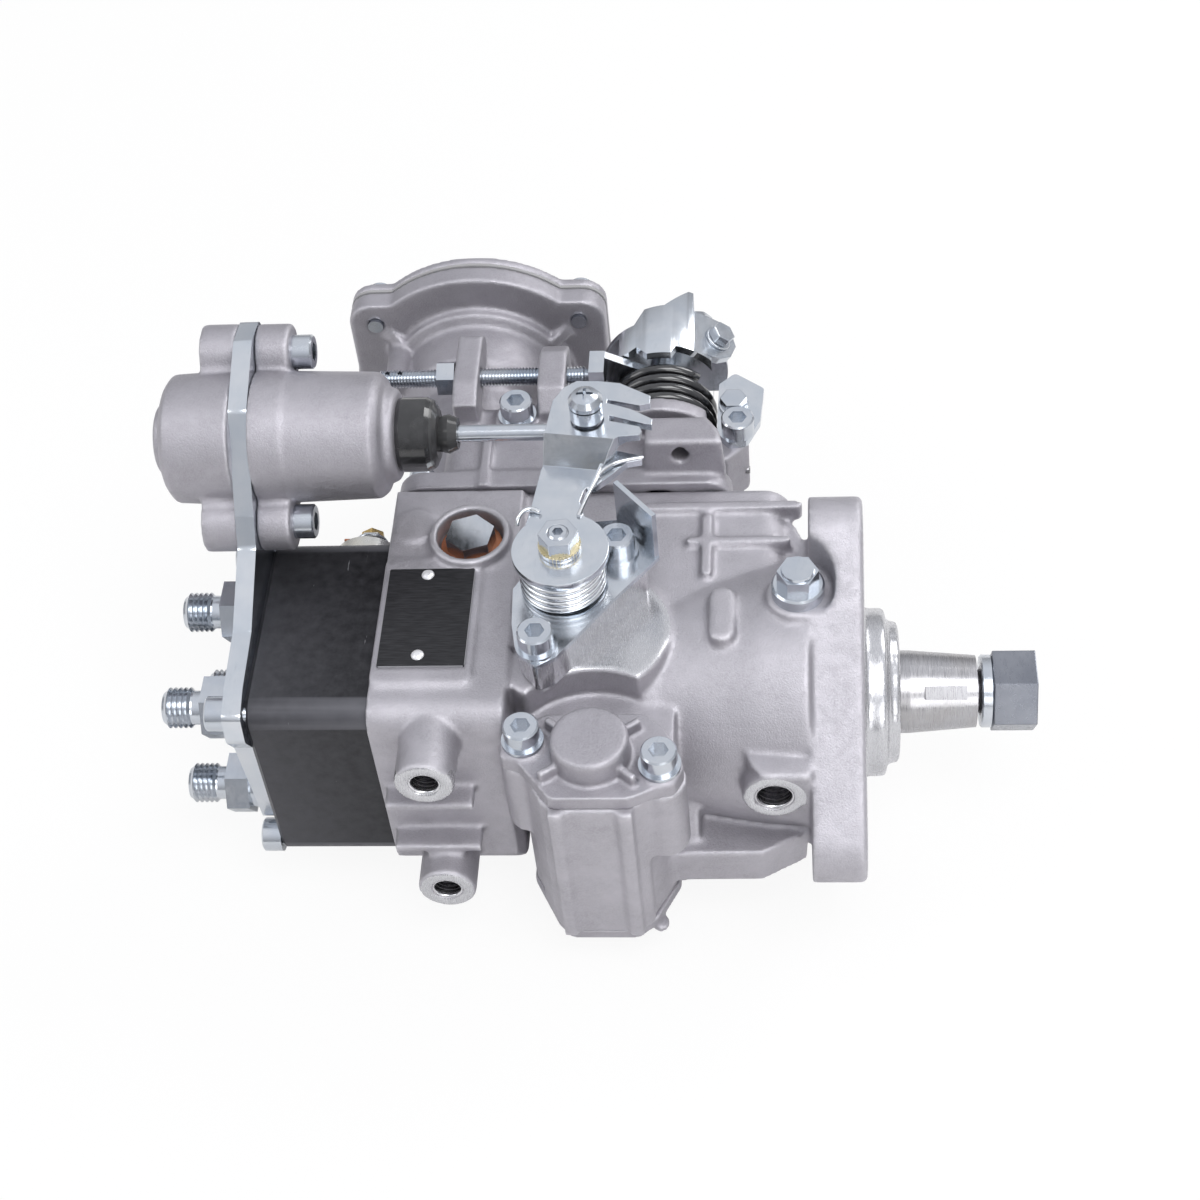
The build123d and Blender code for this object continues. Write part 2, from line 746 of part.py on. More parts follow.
with BuildPart() as head_plug:
    add(turned(((0, 0), (0, 6.95), (8.0, 6.95), (8.0, 8.0), (10.0, 8.0), (10.0, 3.0), (20.0, 3.0), (20.0, 0)),
               (sleeve_back, 0, 0), (-1, 0, 0)))
    add(hex_prism(Plane(origin=(head_face - 2, 0, 0), x_dir=(0, 1, 0), z_dir=(-1, 0, 0)), 13.0, 7.0))
head_plug.part.label = "head_plug"
export_step(head_plug.part, "parts/head_plug.step")

with BuildPart() as barrel_sleeve:
    add(ring((sleeve_back, 0, 0), (1, 0, 0), barrel_sleeve_radius, plunger_radius + running, spigot_end - sleeve_back))
barrel_sleeve.part.label = "barrel_sleeve"
export_step(barrel_sleeve.part, "parts/barrel_sleeve.step")

armature_radius = 4.5
armature_low = 18.0
armature_length = 26.0
armature_stroke = 2.0
with BuildPart() as shutoff_solenoid:
    add(turned(((0, armature_radius + running), (0, 8.0), (head_half - solenoid_low, 8.0), (head_half - solenoid_low, 12.0),
                (16.0, 12.0), (16.0, 11.0), (32.0, 11.0), (33.0, 10.0), (33.0, 6.5), (36.0, 6.0), (36.0, 2.5),
                (43.0, 2.5), (43.0, 0), (armature_low + armature_length + armature_stroke + 1 - solenoid_low, 0),
                (armature_low + armature_length + armature_stroke + 1 - solenoid_low, armature_radius + running)),
               (solenoid_x, solenoid_low, solenoid_z), (0, 1, 0)))
    add(hex_prism(Plane(origin=(solenoid_x, 61.0, solenoid_z), x_dir=(1, 0, 0), z_dir=(0, 1, 0)), 8.0, 3.2, 2.4))
shutoff_solenoid.part.label = "shutoff_solenoid"
export_step(shutoff_solenoid.part, "parts/shutoff_solenoid.step")

with BuildPart() as solenoid_armature:
    add(turned(((0, 0), (2.5, armature_radius), (armature_length, armature_radius), (armature_length, 0)),
               (solenoid_x, armature_low, solenoid_z), (0, 1, 0)))
solenoid_armature.part.label = "solenoid_armature"
export_step(solenoid_armature.part, "parts/solenoid_armature.step")

# ---------------------------------------------------------------- cold-start actuator and its bracket
actuator_ears = [(rod_y + side_sign * actuator_screw_y, rod_z + side_sign * actuator_screw_z) for side_sign in (-1, 1)]
piston_radius = 14.9
piston_x = -150.0
piston_thick = 4.0
rod_back = -166.0
with BuildPart() as actuator_bracket:
    with BuildSketch(across(bracket_face)) as bracket_plan:
        with BuildLine():
            Polyline((-28, -24), (-33, 18), (-37.5, 26), (-36, 35), (-27, 38), (-8, 40), (15, 51), (20, 59), (38, 84),
                     (59, 92), (70, 90), (74, 82), (70, 70), (52, 50), (36, 36), (37, 24), (33, 16), (33, -10),
                     (26, -24), close=True)
        make_face()
        fillet(bracket_plan.vertices(), 2.6)
        for y, z in valve_grid:
            with Locations((y, z)):
                Circle(9.3, mode=Mode.SUBTRACT)
        Circle(9.0, mode=Mode.SUBTRACT)
        with Locations(*[(y, z) for y, z in screw_grid if z > 0]):
            Circle(3.2, mode=Mode.SUBTRACT)
        with Locations(*actuator_ears):
            Circle(3.1, mode=Mode.SUBTRACT)
        with Locations((rod_y, rod_z)):
            Circle(12, mode=Mode.SUBTRACT)
    extrude(amount=bracket_thick)
actuator_bracket.part.label = "actuator_bracket"
export_step(actuator_bracket.part, "parts/actuator_bracket.step")

with BuildPart() as actuator_rear:
    axis_point = (bracket_face, rod_y, rod_z)
    length = bracket_face - actuator_back_end
    add(turned(((0, 0), (0, actuator_radius + 0.6), (length - 2, actuator_radius - 0.4), (length, actuator_radius - 3),
                (length, actuator_cap_radius), (length + 2.4, actuator_cap_radius),
                (length + 3.4, actuator_cap_radius - 1.2), (length + 3.4, 0)), axis_point, (-1, 0, 0)))
    for y, z in actuator_ears:
        with BuildSketch(across(bracket_face, y, z)):
            Circle(8.6)
        extrude(amount=-11)
        with BuildSketch(across(bracket_face, (y + rod_y) / 2, (z + rod_z) / 2)):
            Rectangle(20, 15, rotation=degrees(atan2(actuator_screw_z, actuator_screw_y)))
        extrude(amount=-11)
    for y, z in actuator_ears:
        with BuildSketch(across(bracket_face, y, z)):
            Circle(3.05)
        extrude(amount=-8, mode=Mode.SUBTRACT)
    add(ring(axis_point, (-1, 0, 0), 13.0, 0.0, length - 5), mode=Mode.SUBTRACT)
actuator_rear.part.label = "actuator_rear"
export_step(actuator_rear.part, "parts/actuator_rear.step")

with BuildPart() as actuator_front:
    front_length = actuator_front_end - head_face
    add(turned(((0, 0), (0, actuator_radius + 0.8), (9.5, actuator_radius + 0.4), (10.2, actuator_radius),
                (front_length - 6, actuator_radius - 0.8), (front_length - 4, actuator_radius - 2.4),
                (front_length - 3.2, 14.4), (front_length - 0.8, 13.6), (front_length, 12.6), (front_length, 0)),
               (head_face, rod_y, rod_z), (1, 0, 0)))
    for y, z in actuator_ears:
        with BuildSketch(across(head_face, y, z)):
            Circle(8.4)
        extrude(amount=10)
        with BuildSketch(across(head_face, (y + rod_y) / 2, (z + rod_z) / 2)):
            Rectangle(20, 14, rotation=degrees(atan2(actuator_screw_z, actuator_screw_y)))
        extrude(amount=8)
    for y, z in actuator_ears:
        with BuildSketch(across(head_face, y, z)):
            Circle(3.05)
        extrude(amount=10, mode=Mode.SUBTRACT)
    add(ring((head_face, rod_y, rod_z), (1, 0, 0), piston_radius + running + 0.06, 0.0, front_length - 6),
        mode=Mode.SUBTRACT)
    add(ring((head_face, rod_y, rod_z), (1, 0, 0), rod_radius + easy, 0.0, front_length + 1), mode=Mode.SUBTRACT)
actuator_front.part.label = "actuator_front"
export_step(actuator_front.part, "parts/actuator_front.step")

with BuildPart() as actuator_boot:
    boot_length = boot_end - actuator_front_end
    add(turned(((0, rod_radius + easy), (0, boot_radius - 0.3), (1.2, boot_radius), (8.6, boot_radius),
                (10.6, boot_radius - 1.2), (11.6, boot_radius - 3.4), (11.9, boot_neck_radius - 0.6),
                (boot_length - 2.6, boot_neck_radius), (boot_length, boot_neck_radius - 1.2),
                (boot_length, rod_radius + easy)), (actuator_front_end, rod_y, rod_z), (1, 0, 0)))
actuator_boot.part.label = "actuator_boot"
export_step(actuator_boot.part, "parts/actuator_boot.step")

post_low = 60.0
post_radius = 4.9
post_neck_radius = 3.6
post_hole_radius = post_neck_radius + 1.0
post_collar_z = lever_top + 3.0
with BuildPart() as actuator_rod:
    add(turned(((0, 0), (0, rod_radius), (piston_x - rod_back, rod_radius), (piston_x - rod_back, piston_radius),
                (piston_x - rod_back + piston_thick, piston_radius), (piston_x - rod_back + piston_thick, rod_radius),
                (post_x - rod_back, rod_radius), (post_x - rod_back, 0)), (rod_back, rod_y, rod_z), (1, 0, 0)))
    # clamp post with its domed cross-head screw
    add(turned(((0, 0), (0, post_radius), (post_collar_z - post_low, post_radius), (post_collar_z - post_low, post_neck_radius),
                (12.4, post_neck_radius), (12.4, post_radius), (16.8, post_radius), (16.8, 3.4), (17.4, 3.4),
                (17.4, 5.0), (18.8, 5.0), (20.4, 3.9), (21.2, 2.0), (21.4, 0)),
               (post_x, rod_y, post_low), (0, 0, 1)))
    with BuildSketch(side(post_low + 21.5, post_x, rod_y)):
        Rectangle(5.0, 1.0)
        Rectangle(1.0, 5.0)
    extrude(amount=-1.6, taper=8, mode=Mode.SUBTRACT)
actuator_rod.part.label = "actuator_rod"
export_step(actuator_rod.part, "parts/actuator_rod.step")

# ---------------------------------------------------------------- cold-start lever group
lever_lean = radians(8.3)
lever_bottom = lever_top - lever_thick
upper_top = 71.4
upper_bottom = upper_top - lever_thick
stop_plate_thick = 1.5
block_top = 45.5
plate_top = block_top + stop_plate_thick
lever_shaft_radius = 5.0
slant = (31.4, 35.5)
with BuildPart() as cold_start_lever:
    # bent strip seen from its edge, then trimmed to the lever's outline
    with BuildSketch(Plane(origin=(lever_x, lever_y, 0), x_dir=(sin(lever_lean), cos(lever_lean), 0),
                           z_dir=(cos(lever_lean), -sin(lever_lean), 0))):
        with BuildLine():
            Polyline((-20, lever_bottom), (-20, lever_top), (slant[0], lever_top), (slant[1], upper_top),
                     (66, upper_top), (66, upper_bottom), (slant[1] + 1.57, upper_bottom),
                     (slant[0] + 1.57, lever_bottom), close=True)
        make_face()
    extrude(amount=40, both=True)
    with BuildSketch(side(lever_bottom - 1)):
        with BuildLine():
            Polyline((-95.6, 12), (-94.2, 21), (-92.6, 34), (-91.3, 39.7), (-90.8, 42.3), (-89.5, 53.1), (-86.6, 58.6),
                     (-82.9, 61.2), (-76.5, 61.0), (-70, 59.9), (-60.9, 54.3), (-60.9, 51.2), (-63.9, 50.3),
                     (-73.4, 53.0), (-73.5, 51.7), (-66.4, 48.9), (-60.0, 44.6), (-60.1, 42.2), (-62.0, 42.6),
                     (-72.6, 46.4), (-72.5, 44.2), (-63.6, 41.6), (-62.9, 39.8), (-63.5, 38.2), (-69.7, 37.6),
                     (-72.4, 35.4), (-76, 32), (-79.7, 25), (-80.6, 21), (-78.5, 13.9), (-74.6, 9.2), (-85, 3), close=True)
        make_face()
        with Locations((lever_x, lever_y)):
            Circle(lever_disc_radius)
    extrude(amount=upper_top - lever_bottom + 2, mode=Mode.INTERSECT)
    # lower finger beside the bend
    with BuildSketch(side(lever_bottom)):
        with BuildLine():
            Polyline((-82, 26), (-82, 31), (-75.5, 34.0), (-71.4, 41.5), (-63.5, 39.0), (-63.3, 37.5), (-67.7, 36.5),
                     (-71.9, 31.5), (-76.4, 27), close=True)
        make_face()
    extrude(amount=lever_thick)
    with BuildSketch(side(lever_bottom - 1)):
        with Locations((post_x, rod_y)):
            Circle(post_hole_radius)
        with Locations((lever_x, lever_y)):
            Circle(3.0)
    extrude(amount=upper_top - lever_bottom + 2, mode=Mode.SUBTRACT)
cold_start_lever.part.label = "cold_start_lever"
export_step(cold_start_lever.part, "parts/cold_start_lever.step")

shaft_foot = 31.4
with BuildPart() as lever_shaft:
    add(turned([(0, 0), (0, lever_shaft_radius - 0.6), (0.6, lever_shaft_radius), (lever_bottom - shaft_foot, lever_shaft_radius)]
               + thread_profile(lever_bottom - shaft_foot, lever_bottom - shaft_foot + 9.5, 3.0, 1.0)[1:],
               (lever_x, lever_y, shaft_foot), (0, 0, 1)))
    with BuildSketch(side(lever_bottom + 9.5, lever_x, lever_y)):
        RegularPolygon(1.6, 6)
    extrude(amount=-3, mode=Mode.SUBTRACT)
lever_shaft.part.label = "lever_shaft"
export_step(lever_shaft.part, "parts/lever_shaft.step")

with BuildPart() as lever_nut:
    add(ring((lever_x, lever_y, lever_top), (0, 0, 1), 6.1, 3.0, 1.6))
    add(hex_prism(Plane(origin=(lever_x, lever_y, lever_top + 1.6), x_dir=(1, 0.1, 0), z_dir=(0, 0, 1)), 10.0, 5.0, 3.0))
lever_nut.part.label = "lever_nut"
export_step(lever_nut.part, "parts/lever_nut.step")

lever_spring_radius = 11.4
lever_spring_low = plate_top + spring_wire / 2 + 0.1
lever_spring_high = lever_bottom - spring_wire / 2 - 0.25
lever_spring = coil((lever_x, lever_y, lever_spring_low), (0, 0, 1), lever_spring_radius, spring_wire,
                    spring_wire + 0.12, (lever_spring_high - lever_spring_low) / (spring_wire + 0.12))
lever_spring.label = "lever_spring"
export_step(lever_spring, "parts/lever_spring.step")

with BuildPart() as cold_start_block:
    with BuildSketch(side(boss_top)) as block_outline:
        with BuildLine():
            Polyline((-99.0, 1.0), (-98.6, -14), (-97.6, -19.5), (-92, -26.8), (-87, -24), (-71, -3), (-62, 8),
                     (-62, 16), (-69, 17), (-86, 17), (-95, 12), close=True)
        make_face()
        fillet(block_outline.vertices(), 2.0)
    extrude(amount=block_top - boss_top)
    with BuildSketch(side(boss_top)):
        with Locations((lever_x, lever_y)):
            Circle(lever_shaft_radius + running)
        with Locations(*lever_screws):
            Circle(3.05)
    extrude(amount=block_top - boss_top, mode=Mode.SUBTRACT)
cold_start_block.part.label = "cold_start_block"
export_step(cold_start_block.part, "parts/cold_start_block.step")

tab_ends = ((-70.2, 27.7), (-58.3, 13.0))
tab_top = 64.0
with BuildPart() as stop_plate:
    with BuildSketch(side(block_top)) as stop_outline:
        with BuildLine():
            Polyline((-99.9, 1.2), (-99.3, -12), (-97.8, -20.5), (-91.8, -27.8), (-86.2, -24.4), (-72.0, -4.4),
                     tab_ends[1], tab_ends[0], (-77.9, 27), (-92, 16), close=True)
        make_face()
        fillet(stop_outline.vertices().sort_by(Axis.Y)[:4], 2.0)
    extrude(amount=stop_plate_thick)
    tab_run = hypot(tab_ends[1][0] - tab_ends[0][0], tab_ends[1][1] - tab_ends[0][1])
    tab_dir = ((tab_ends[1][0] - tab_ends[0][0]) / tab_run, (tab_ends[1][1] - tab_ends[0][1]) / tab_run, 0)
    with BuildSketch(Plane(origin=(*tab_ends[0], block_top), x_dir=tab_dir, z_dir=(tab_dir[1], -tab_dir[0], 0))):
        with BuildLine():
            Polyline((0.4, 0), (0.4, tab_top - block_top), (tab_run - 0.2, tab_top - block_top + 0.6),
                     (tab_run - 0.2, 1.2), (tab_run - 1.6, 0), close=True)
        make_face()
    extrude(amount=stop_plate_thick)
    with BuildSketch(side(block_top)):
        with Locations((lever_x, lever_y)):
            Circle(lever_shaft_radius + easy)
        with Locations(lever_screws[0]):
            Circle(3.2)
        with Locations((lever_screws[1][0] + 0.8, lever_screws[1][1] - 0.4)):
            SlotOverall(10.5, 6.5, rotation=-20)
    extrude(amount=stop_plate_thick, mode=Mode.SUBTRACT)
stop_plate.part.label = "stop_plate"
export_step(stop_plate.part, "parts/stop_plate.step")

# ---------------------------------------------------------------- timing device
with BuildPart() as timing_cover:
    with BuildSketch(side(timing_top)) as timing_outline:
        with BuildLine():
            Polyline((-97, -34.5), (-90, -30.5), (-62, -30.5), (-56, -36), (-52.5, -43), (-50.5, -50), (-53, -55.5),
                     (-59, -57), (-65.5, timing_wall_y + 1), (-87.5, timing_wall_y + 1), (-92, -54), (-97, -47.6),
                     (-102, -46), (-102.6, -39.5), close=True)
        make_face()
        fillet(timing_outline.vertices(), 2.0)
    extrude(amount=timing_plate_thick)
    with BuildSketch(side(timing_top, timing_x, timing_y)):
        Circle(timing_disc_radius)
    extrude(amount=timing_plate_thick + timing_disc_height)
    fillet(timing_cover.faces().sort_by(Axis.Z)[-1].edges(), 1.5)
    with BuildSketch(side(timing_top, timing_x, timing_y)):
        for angle in (36, 142, 213, 321):
            with Locations((12.5 * cos(radians(angle)), 12.5 * sin(radians(angle)))):
                Rectangle(8, 2.2, rotation=angle)
    extrude(amount=timing_plate_thick + 4.0)
    with BuildSketch(side(timing_top)):
        with Locations(*timing_screws):
            Circle(6.2)
    extrude(amount=timing_plate_thick + 0.8)
    with BuildSketch(side(timing_top - 4, timing_x, timing_y)):
        Circle(timing_bore_radius - 0.1)
        Circle(timing_bore_radius - 2.5, mode=Mode.SUBTRACT)
    extrude(amount=4.2)
    with BuildSketch(side(timing_top)):
        with Locations(*timing_screws):
            Circle(3.05)
    extrude(amount=timing_plate_thick + 1, mode=Mode.SUBTRACT)
timing_cover.part.label = "timing_cover"
export_step(timing_cover.part, "parts/timing_cover.step")

lower_cover_thick = 4.0
with BuildPart() as timing_lower_cover:
    with BuildSketch(side(timing_low)) as lower_outline:
        with BuildLine():
            Polyline((-98.5, -31), (-98.5, -41), (-90.5, -56.4), (-86.5, timing_wall_y + 0.4), (-66.5, timing_wall_y + 0.4),
                     (-61, -56), (-54.5, -43), (-54.5, -31), close=True)
        make_face()
        fillet(lower_outline.vertices(), 2.0)
    extrude(amount=-lower_cover_thick)
    with BuildSketch(side(timing_low, timing_x, timing_y)):
        Circle(timing_bore_radius - 0.1)
        Circle(timing_bore_radius - 2.5, mode=Mode.SUBTRACT)
    extrude(amount=4)
    with BuildSketch(side(timing_low - lower_cover_thick, -60.5, -54.5)):
        Circle(2.6)
    extrude(amount=-2.0)
timing_lower_cover.part.label = "timing_lower_cover"
export_step(timing_lower_cover.part, "parts/timing_lower_cover.step")

piston_low = -14.0
piston_high = 14.0
pin_radius = 3.0
pin_tip = -47.0
with BuildPart() as timing_piston:
    with BuildSketch(side(piston_low, timing_x, timing_y)):
        Circle(timing_bore_radius - running)
    extrude(amount=piston_high - piston_low)
    with BuildSketch(side(piston_low, timing_x, timing_y)):
        Circle(7.6)
    extrude(amount=7, mode=Mode.SUBTRACT)
    with BuildSketch(level(pin_tip - 3.5)):
        with Locations((timing_x, 0)):
            Circle(5.6)
    extrude(amount=-30, mode=Mode.SUBTRACT)
timing_piston.part.label = "timing_piston"
export_step(timing_piston.part, "parts/timing_piston.step")

timing_spring_low = timing_low + 0.9
timing_travel_low = -5.0
timing_spring_turns = 5
timing_spring = coil((timing_x, timing_y, timing_spring_low), (0, 0, 1), 6.2, 1.6,
                     (piston_low + timing_travel_low - 0.8 - easy - timing_spring_low) / timing_spring_turns,
                     timing_spring_turns)
timing_spring.label = "timing_spring"
export_step(timing_spring, "parts/timing_spring.step")

with BuildPart() as roller_ring:
    add(ring((ring_back, 0, 0), (1, 0, 0), ring_outer, ring_inner, ring_length))
    for index in range(4):
        spoke = radians(45 + 90 * index)
        with BuildSketch(Plane(origin=(ring_back - 1, roller_pitch_radius * cos(spoke), roller_pitch_radius * sin(spoke)),
                               x_dir=(0, cos(spoke), sin(spoke)), z_dir=(1, 0, 0))):
            Rectangle(roller_length + 2 * easy, 2 * (roller_radius + easy))
        extrude(amount=roller_x + roller_radius + easy - ring_back + 1, mode=Mode.SUBTRACT)
    with BuildSketch(level(-20)):
        with Locations((timing_x, 0)):
            Circle(pin_radius)
    extrude(amount=10, mode=Mode.SUBTRACT)
roller_ring.part.label = "roller_ring"
export_step(roller_ring.part, "parts/roller_ring.step")

with BuildPart() as rollers:
    for index in range(4):
        spoke = radians(45 + 90 * index)
        out = (0, cos(spoke), sin(spoke))
        start = roller_pitch_radius - roller_length / 2
        add(ring((roller_x, start * out[1], start * out[2]), out, roller_radius, 0.0, roller_length))
rollers.part.label = "rollers"
export_step(rollers.part, "parts/rollers.step")

with BuildPart() as timing_pin:
    add(ring((timing_x, pin_tip, 0), (0, 1, 0), pin_radius, 0.0, -20.5 - pin_tip))
timing_pin.part.label = "timing_pin"
export_step(timing_pin.part, "parts/timing_pin.step")

# ---------------------------------------------------------------- drive shaft and what turns with it
claw_inner = 5.0
claw_outer = 14.0
claw_half_angle = 30.0
claw_disc_back = gear_back - 5.0
claw_disc_front = gear_back - 1.0


def claws(x, length, first_angle):
    """Two opposite coupling claws that run from x along the shaft."""
    pieces = []
    for turn in (0, 180):
        start = first_angle + turn - claw_half_angle
        corners = []
        for radius, steps in ((claw_inner, (0, 1, 2, 3, 4)), (claw_outer, (4, 3, 2, 1, 0))):
            for step in steps:
                angle = radians(start + claw_half_angle * step / 2)
                corners.append((radius * cos(angle), radius * sin(angle)))
        with BuildPart() as claw:
            with BuildSketch(across(x)):
                with BuildLine():
                    Polyline(*corners, close=True)
                make_face()
            extrude(amount=length)
        pieces.append(claw.part)
    return pieces


key_direction = radians(90 + key_angle)
key_out = (0, cos(key_direction), sin(key_direction))
key_radius = shaft_radius - (shaft_radius - taper_end_radius) * (key_start + key_length / 2 - taper_start) / taper_length
key_plane = Plane(origin=(key_start, (key_radius - key_sink) * key_out[1], (key_radius - key_sink) * key_out[2]),
                  x_dir=(1, 0, 0), z_dir=key_out)
with BuildPart() as drive_shaft:
    add(turned([(claw_disc_back, 0), (claw_disc_back, claw_outer), (claw_disc_front, claw_outer),
                (claw_disc_front, shaft_radius), (taper_start, shaft_radius),
                (taper_start + taper_length, taper_end_radius), (taper_start + taper_length, thread_radius - 0.8)]
               + thread_profile(taper_start + taper_length + 0.6, shaft_end - 0.8, thread_radius, 1.5)[1:-1]
               + [(shaft_end, thread_radius - 1.2), (shaft_end, 2.5), (shaft_end - 4, 0)],
               (0, 0, 0), (1, 0, 0)))
    for claw in claws(claw_disc_back, -11.0, 0):
        add(claw)
    with BuildSketch(key_plane):
        with Locations((key_length / 2, 0)):
            Rectangle(key_length, key_width)
    extrude(amount=key_sink + key_stand, mode=Mode.SUBTRACT)
drive_shaft.part.label = "drive_shaft"
export_step(drive_shaft.part, "parts/drive_shaft.step")

with BuildPart() as shaft_key:
    with BuildSketch(key_plane):
        with Locations((key_length / 2, 0)):
            Rectangle(key_length, key_width)
    extrude(amount=key_sink + key_stand)
shaft_key.part.label = "shaft_key"
export_step(shaft_key.part, "parts/shaft_key.step")

with BuildPart() as shaft_washer:
    add(ring((washer_seat, 0, 0), (1, 0, 0), washer_radius, thread_radius + 0.2, washer_thick))
    chamfer(shaft_washer.edges().filter_by(GeomType.CIRCLE).sort_by(SortBy.RADIUS)[-2:], 0.4)
shaft_washer.part.label = "shaft_washer"
export_step(shaft_washer.part, "parts/shaft_washer.step")

with BuildPart() as shaft_nut:
    add(hex_prism(Plane(origin=(nut_seat, 0, 0), x_dir=(0, 1, 0), z_dir=(1, 0, 0)), nut_flats, nut_length,
                  thread_radius))
shaft_nut.part.label = "shaft_nut"
export_step(shaft_nut.part, "parts/shaft_nut.step")

drive_gear = gear_blank(across(gear_back), drive_gear_teeth, gear_module, shaft_radius, gear_width, 0.0, 0.25)
drive_gear.label = "drive_gear"
export_step(drive_gear, "parts/drive_gear.step")

vane_thick = 2.0
vane_reach = 0.7
with BuildPart() as rotor_core:
    add(ring((pump_back + 0.2, 0, 0), (1, 0, 0), rotor_radius, shaft_radius, vane_pump_length - 0.4))
    for index in range(4):
        out = (0, cos(index * pi / 2), sin(index * pi / 2))
        with BuildSketch(Plane(origin=(pump_back, 14 * out[1], 14 * out[2]), x_dir=out, z_dir=(1, 0, 0))):
            with Locations((5, 0)):
                Rectangle(10, vane_thick)
        extrude(amount=vane_pump_length, mode=Mode.SUBTRACT)
with BuildPart() as vane_blades:
    for index in range(4):
        out = (0, cos(index * pi / 2), sin(index * pi / 2))
        blade = rotor_radius + vane_reach - 15
        with BuildSketch(Plane(origin=(pump_back + 0.2, 15 * out[1], 15 * out[2]), x_dir=out, z_dir=(1, 0, 0))):
            with Locations((blade / 2, 0)):
                Rectangle(blade, vane_thick)
        extrude(amount=vane_pump_length - 0.4)
vane_rotor = Compound(label="vane_rotor", children=[*rotor_core.part.solids(), *vane_blades.part.solids()])
export_step(vane_rotor, "parts/vane_rotor.step")

ring_offset = 2.0
with BuildPart() as pump_ring:
    with BuildSketch(across(pump_back)):
        Circle(pump_ring_radius)
        with Locations((ring_offset, 0)):
            Circle(rotor_radius + vane_reach + easy + ring_offset, mode=Mode.SUBTRACT)
    extrude(amount=vane_pump_length)
pump_ring.part.label = "pump_ring"
export_step(pump_ring.part, "parts/pump_ring.step")

with BuildPart() as shaft_bush:
    add(ring((pump_floor, 0, 0), (1, 0, 0), bush_radius, shaft_radius + running, bush_front - pump_floor))
shaft_bush.part.label = "shaft_bush"
export_step(shaft_bush.part, "parts/shaft_bush.step")

with BuildPart() as shaft_seal:
    seal_start = pilot_length + nose_length - seal_length
    add(turned(((0, shaft_radius + 1.6), (0, seal_radius), (seal_length - 0.4, seal_radius),
                (seal_length - 0.4, shaft_radius + 3.2), (seal_length - 1.4, shaft_radius + 2.6),
                (seal_length - 0.8, shaft_radius + 0.05), (seal_length - 2.2, shaft_radius + 0.05),
                (seal_length - 3.4, shaft_radius + 1.6)),
               (seal_start, 0, 0), (1, 0, 0)))
shaft_seal.part.label = "shaft_seal"
export_step(shaft_seal.part, "parts/shaft_seal.step")

# ---------------------------------------------------------------- cam plate, plunger and control collar
plunger_end = -164.0
with BuildPart() as cam_plate:
    add(ring((cam_back, 0, 0), (1, 0, 0), cam_plate_radius, 0.0, cam_plate_thick))
    for claw in claws(cam_face, gear_back - 6.5 - cam_face, 90):
        add(claw)
    for index in range(4):
        spoke = 45 + 90 * index
        with BuildSketch(across(cam_face)):
            with BuildLine():
                Polyline(*[(radius * cos(radians(spoke + turn)), radius * sin(radians(spoke + turn)))
                           for radius, turns in ((27.8, (-18, -9, 0, 9, 18)), (19.8, (18, 9, 0, -9, -18)))
                           for turn in turns], close=True)
            make_face()
        extrude(amount=cam_lift, taper=30)
cam_plate.part.label = "cam_plate"
export_step(cam_plate.part, "parts/cam_plate.step")

with BuildPart() as plunger:
    add(turned(((0, 0), (0, 9.0), (2.0, 9.0), (2.0, plunger_radius), (cam_back - plunger_end, plunger_radius),
                (cam_back - plunger_end, 0)), (cam_back, 0, 0), (-1, 0, 0)))
    with BuildSketch(level(0)):
        with Locations((lever_pivot_x + 1, 0)):
            Circle(1.2)
    extrude(amount=10, both=True, mode=Mode.SUBTRACT)
plunger.part.label = "plunger"
export_step(plunger.part, "parts/plunger.step")

collar_radius = 10.0
collar_length = 10.0
ball_y = 9.6
ball_radius = 2.5
with BuildPart() as control_collar:
    add(ring((lever_pivot_x - collar_length / 2, 0, 0), (1, 0, 0), collar_radius, plunger_radius + running, collar_length))
    with BuildSketch(level(plunger_radius + 0.8)):
        with Locations((lever_pivot_x, 0)):
            Circle(ball_radius + 0.5)
    extrude(amount=-10, mode=Mode.SUBTRACT)
control_collar.part.label = "control_collar"
export_step(control_collar.part, "parts/control_collar.step")

plunger_spring_turns = 6
plunger_spring_start = spigot_end + 0.9
plunger_spring_pitch = (cam_back - cam_lift - easy - 0.9 - plunger_spring_start) / plunger_spring_turns
spring_pair = [coil((plunger_spring_start, 0, z), (1, 0, 0), 4.4, 1.6, plunger_spring_pitch, plunger_spring_turns)
               for z in (-plunger_spring_z, plunger_spring_z)]
plunger_springs = Compound(label="plunger_springs", children=spring_pair)
export_step(plunger_springs, "parts/plunger_springs.step")

# ---------------------------------------------------------------- governor
governor_shaft_end = -108.0
with BuildPart() as governor_shaft:
    add(turned(((governor_shaft_end, 0), (governor_shaft_end, governor_shaft_radius), (gear_front + easy, governor_shaft_radius),
                (gear_front + easy, 6.0), (-52, 6.0), (-52, governor_shaft_radius), (-25, governor_shaft_radius), (-25, 0)),
               (0, governor_y, 0), (1, 0, 0)))
governor_shaft.part.label = "governor_shaft"
export_step(governor_shaft.part, "parts/governor_shaft.step")

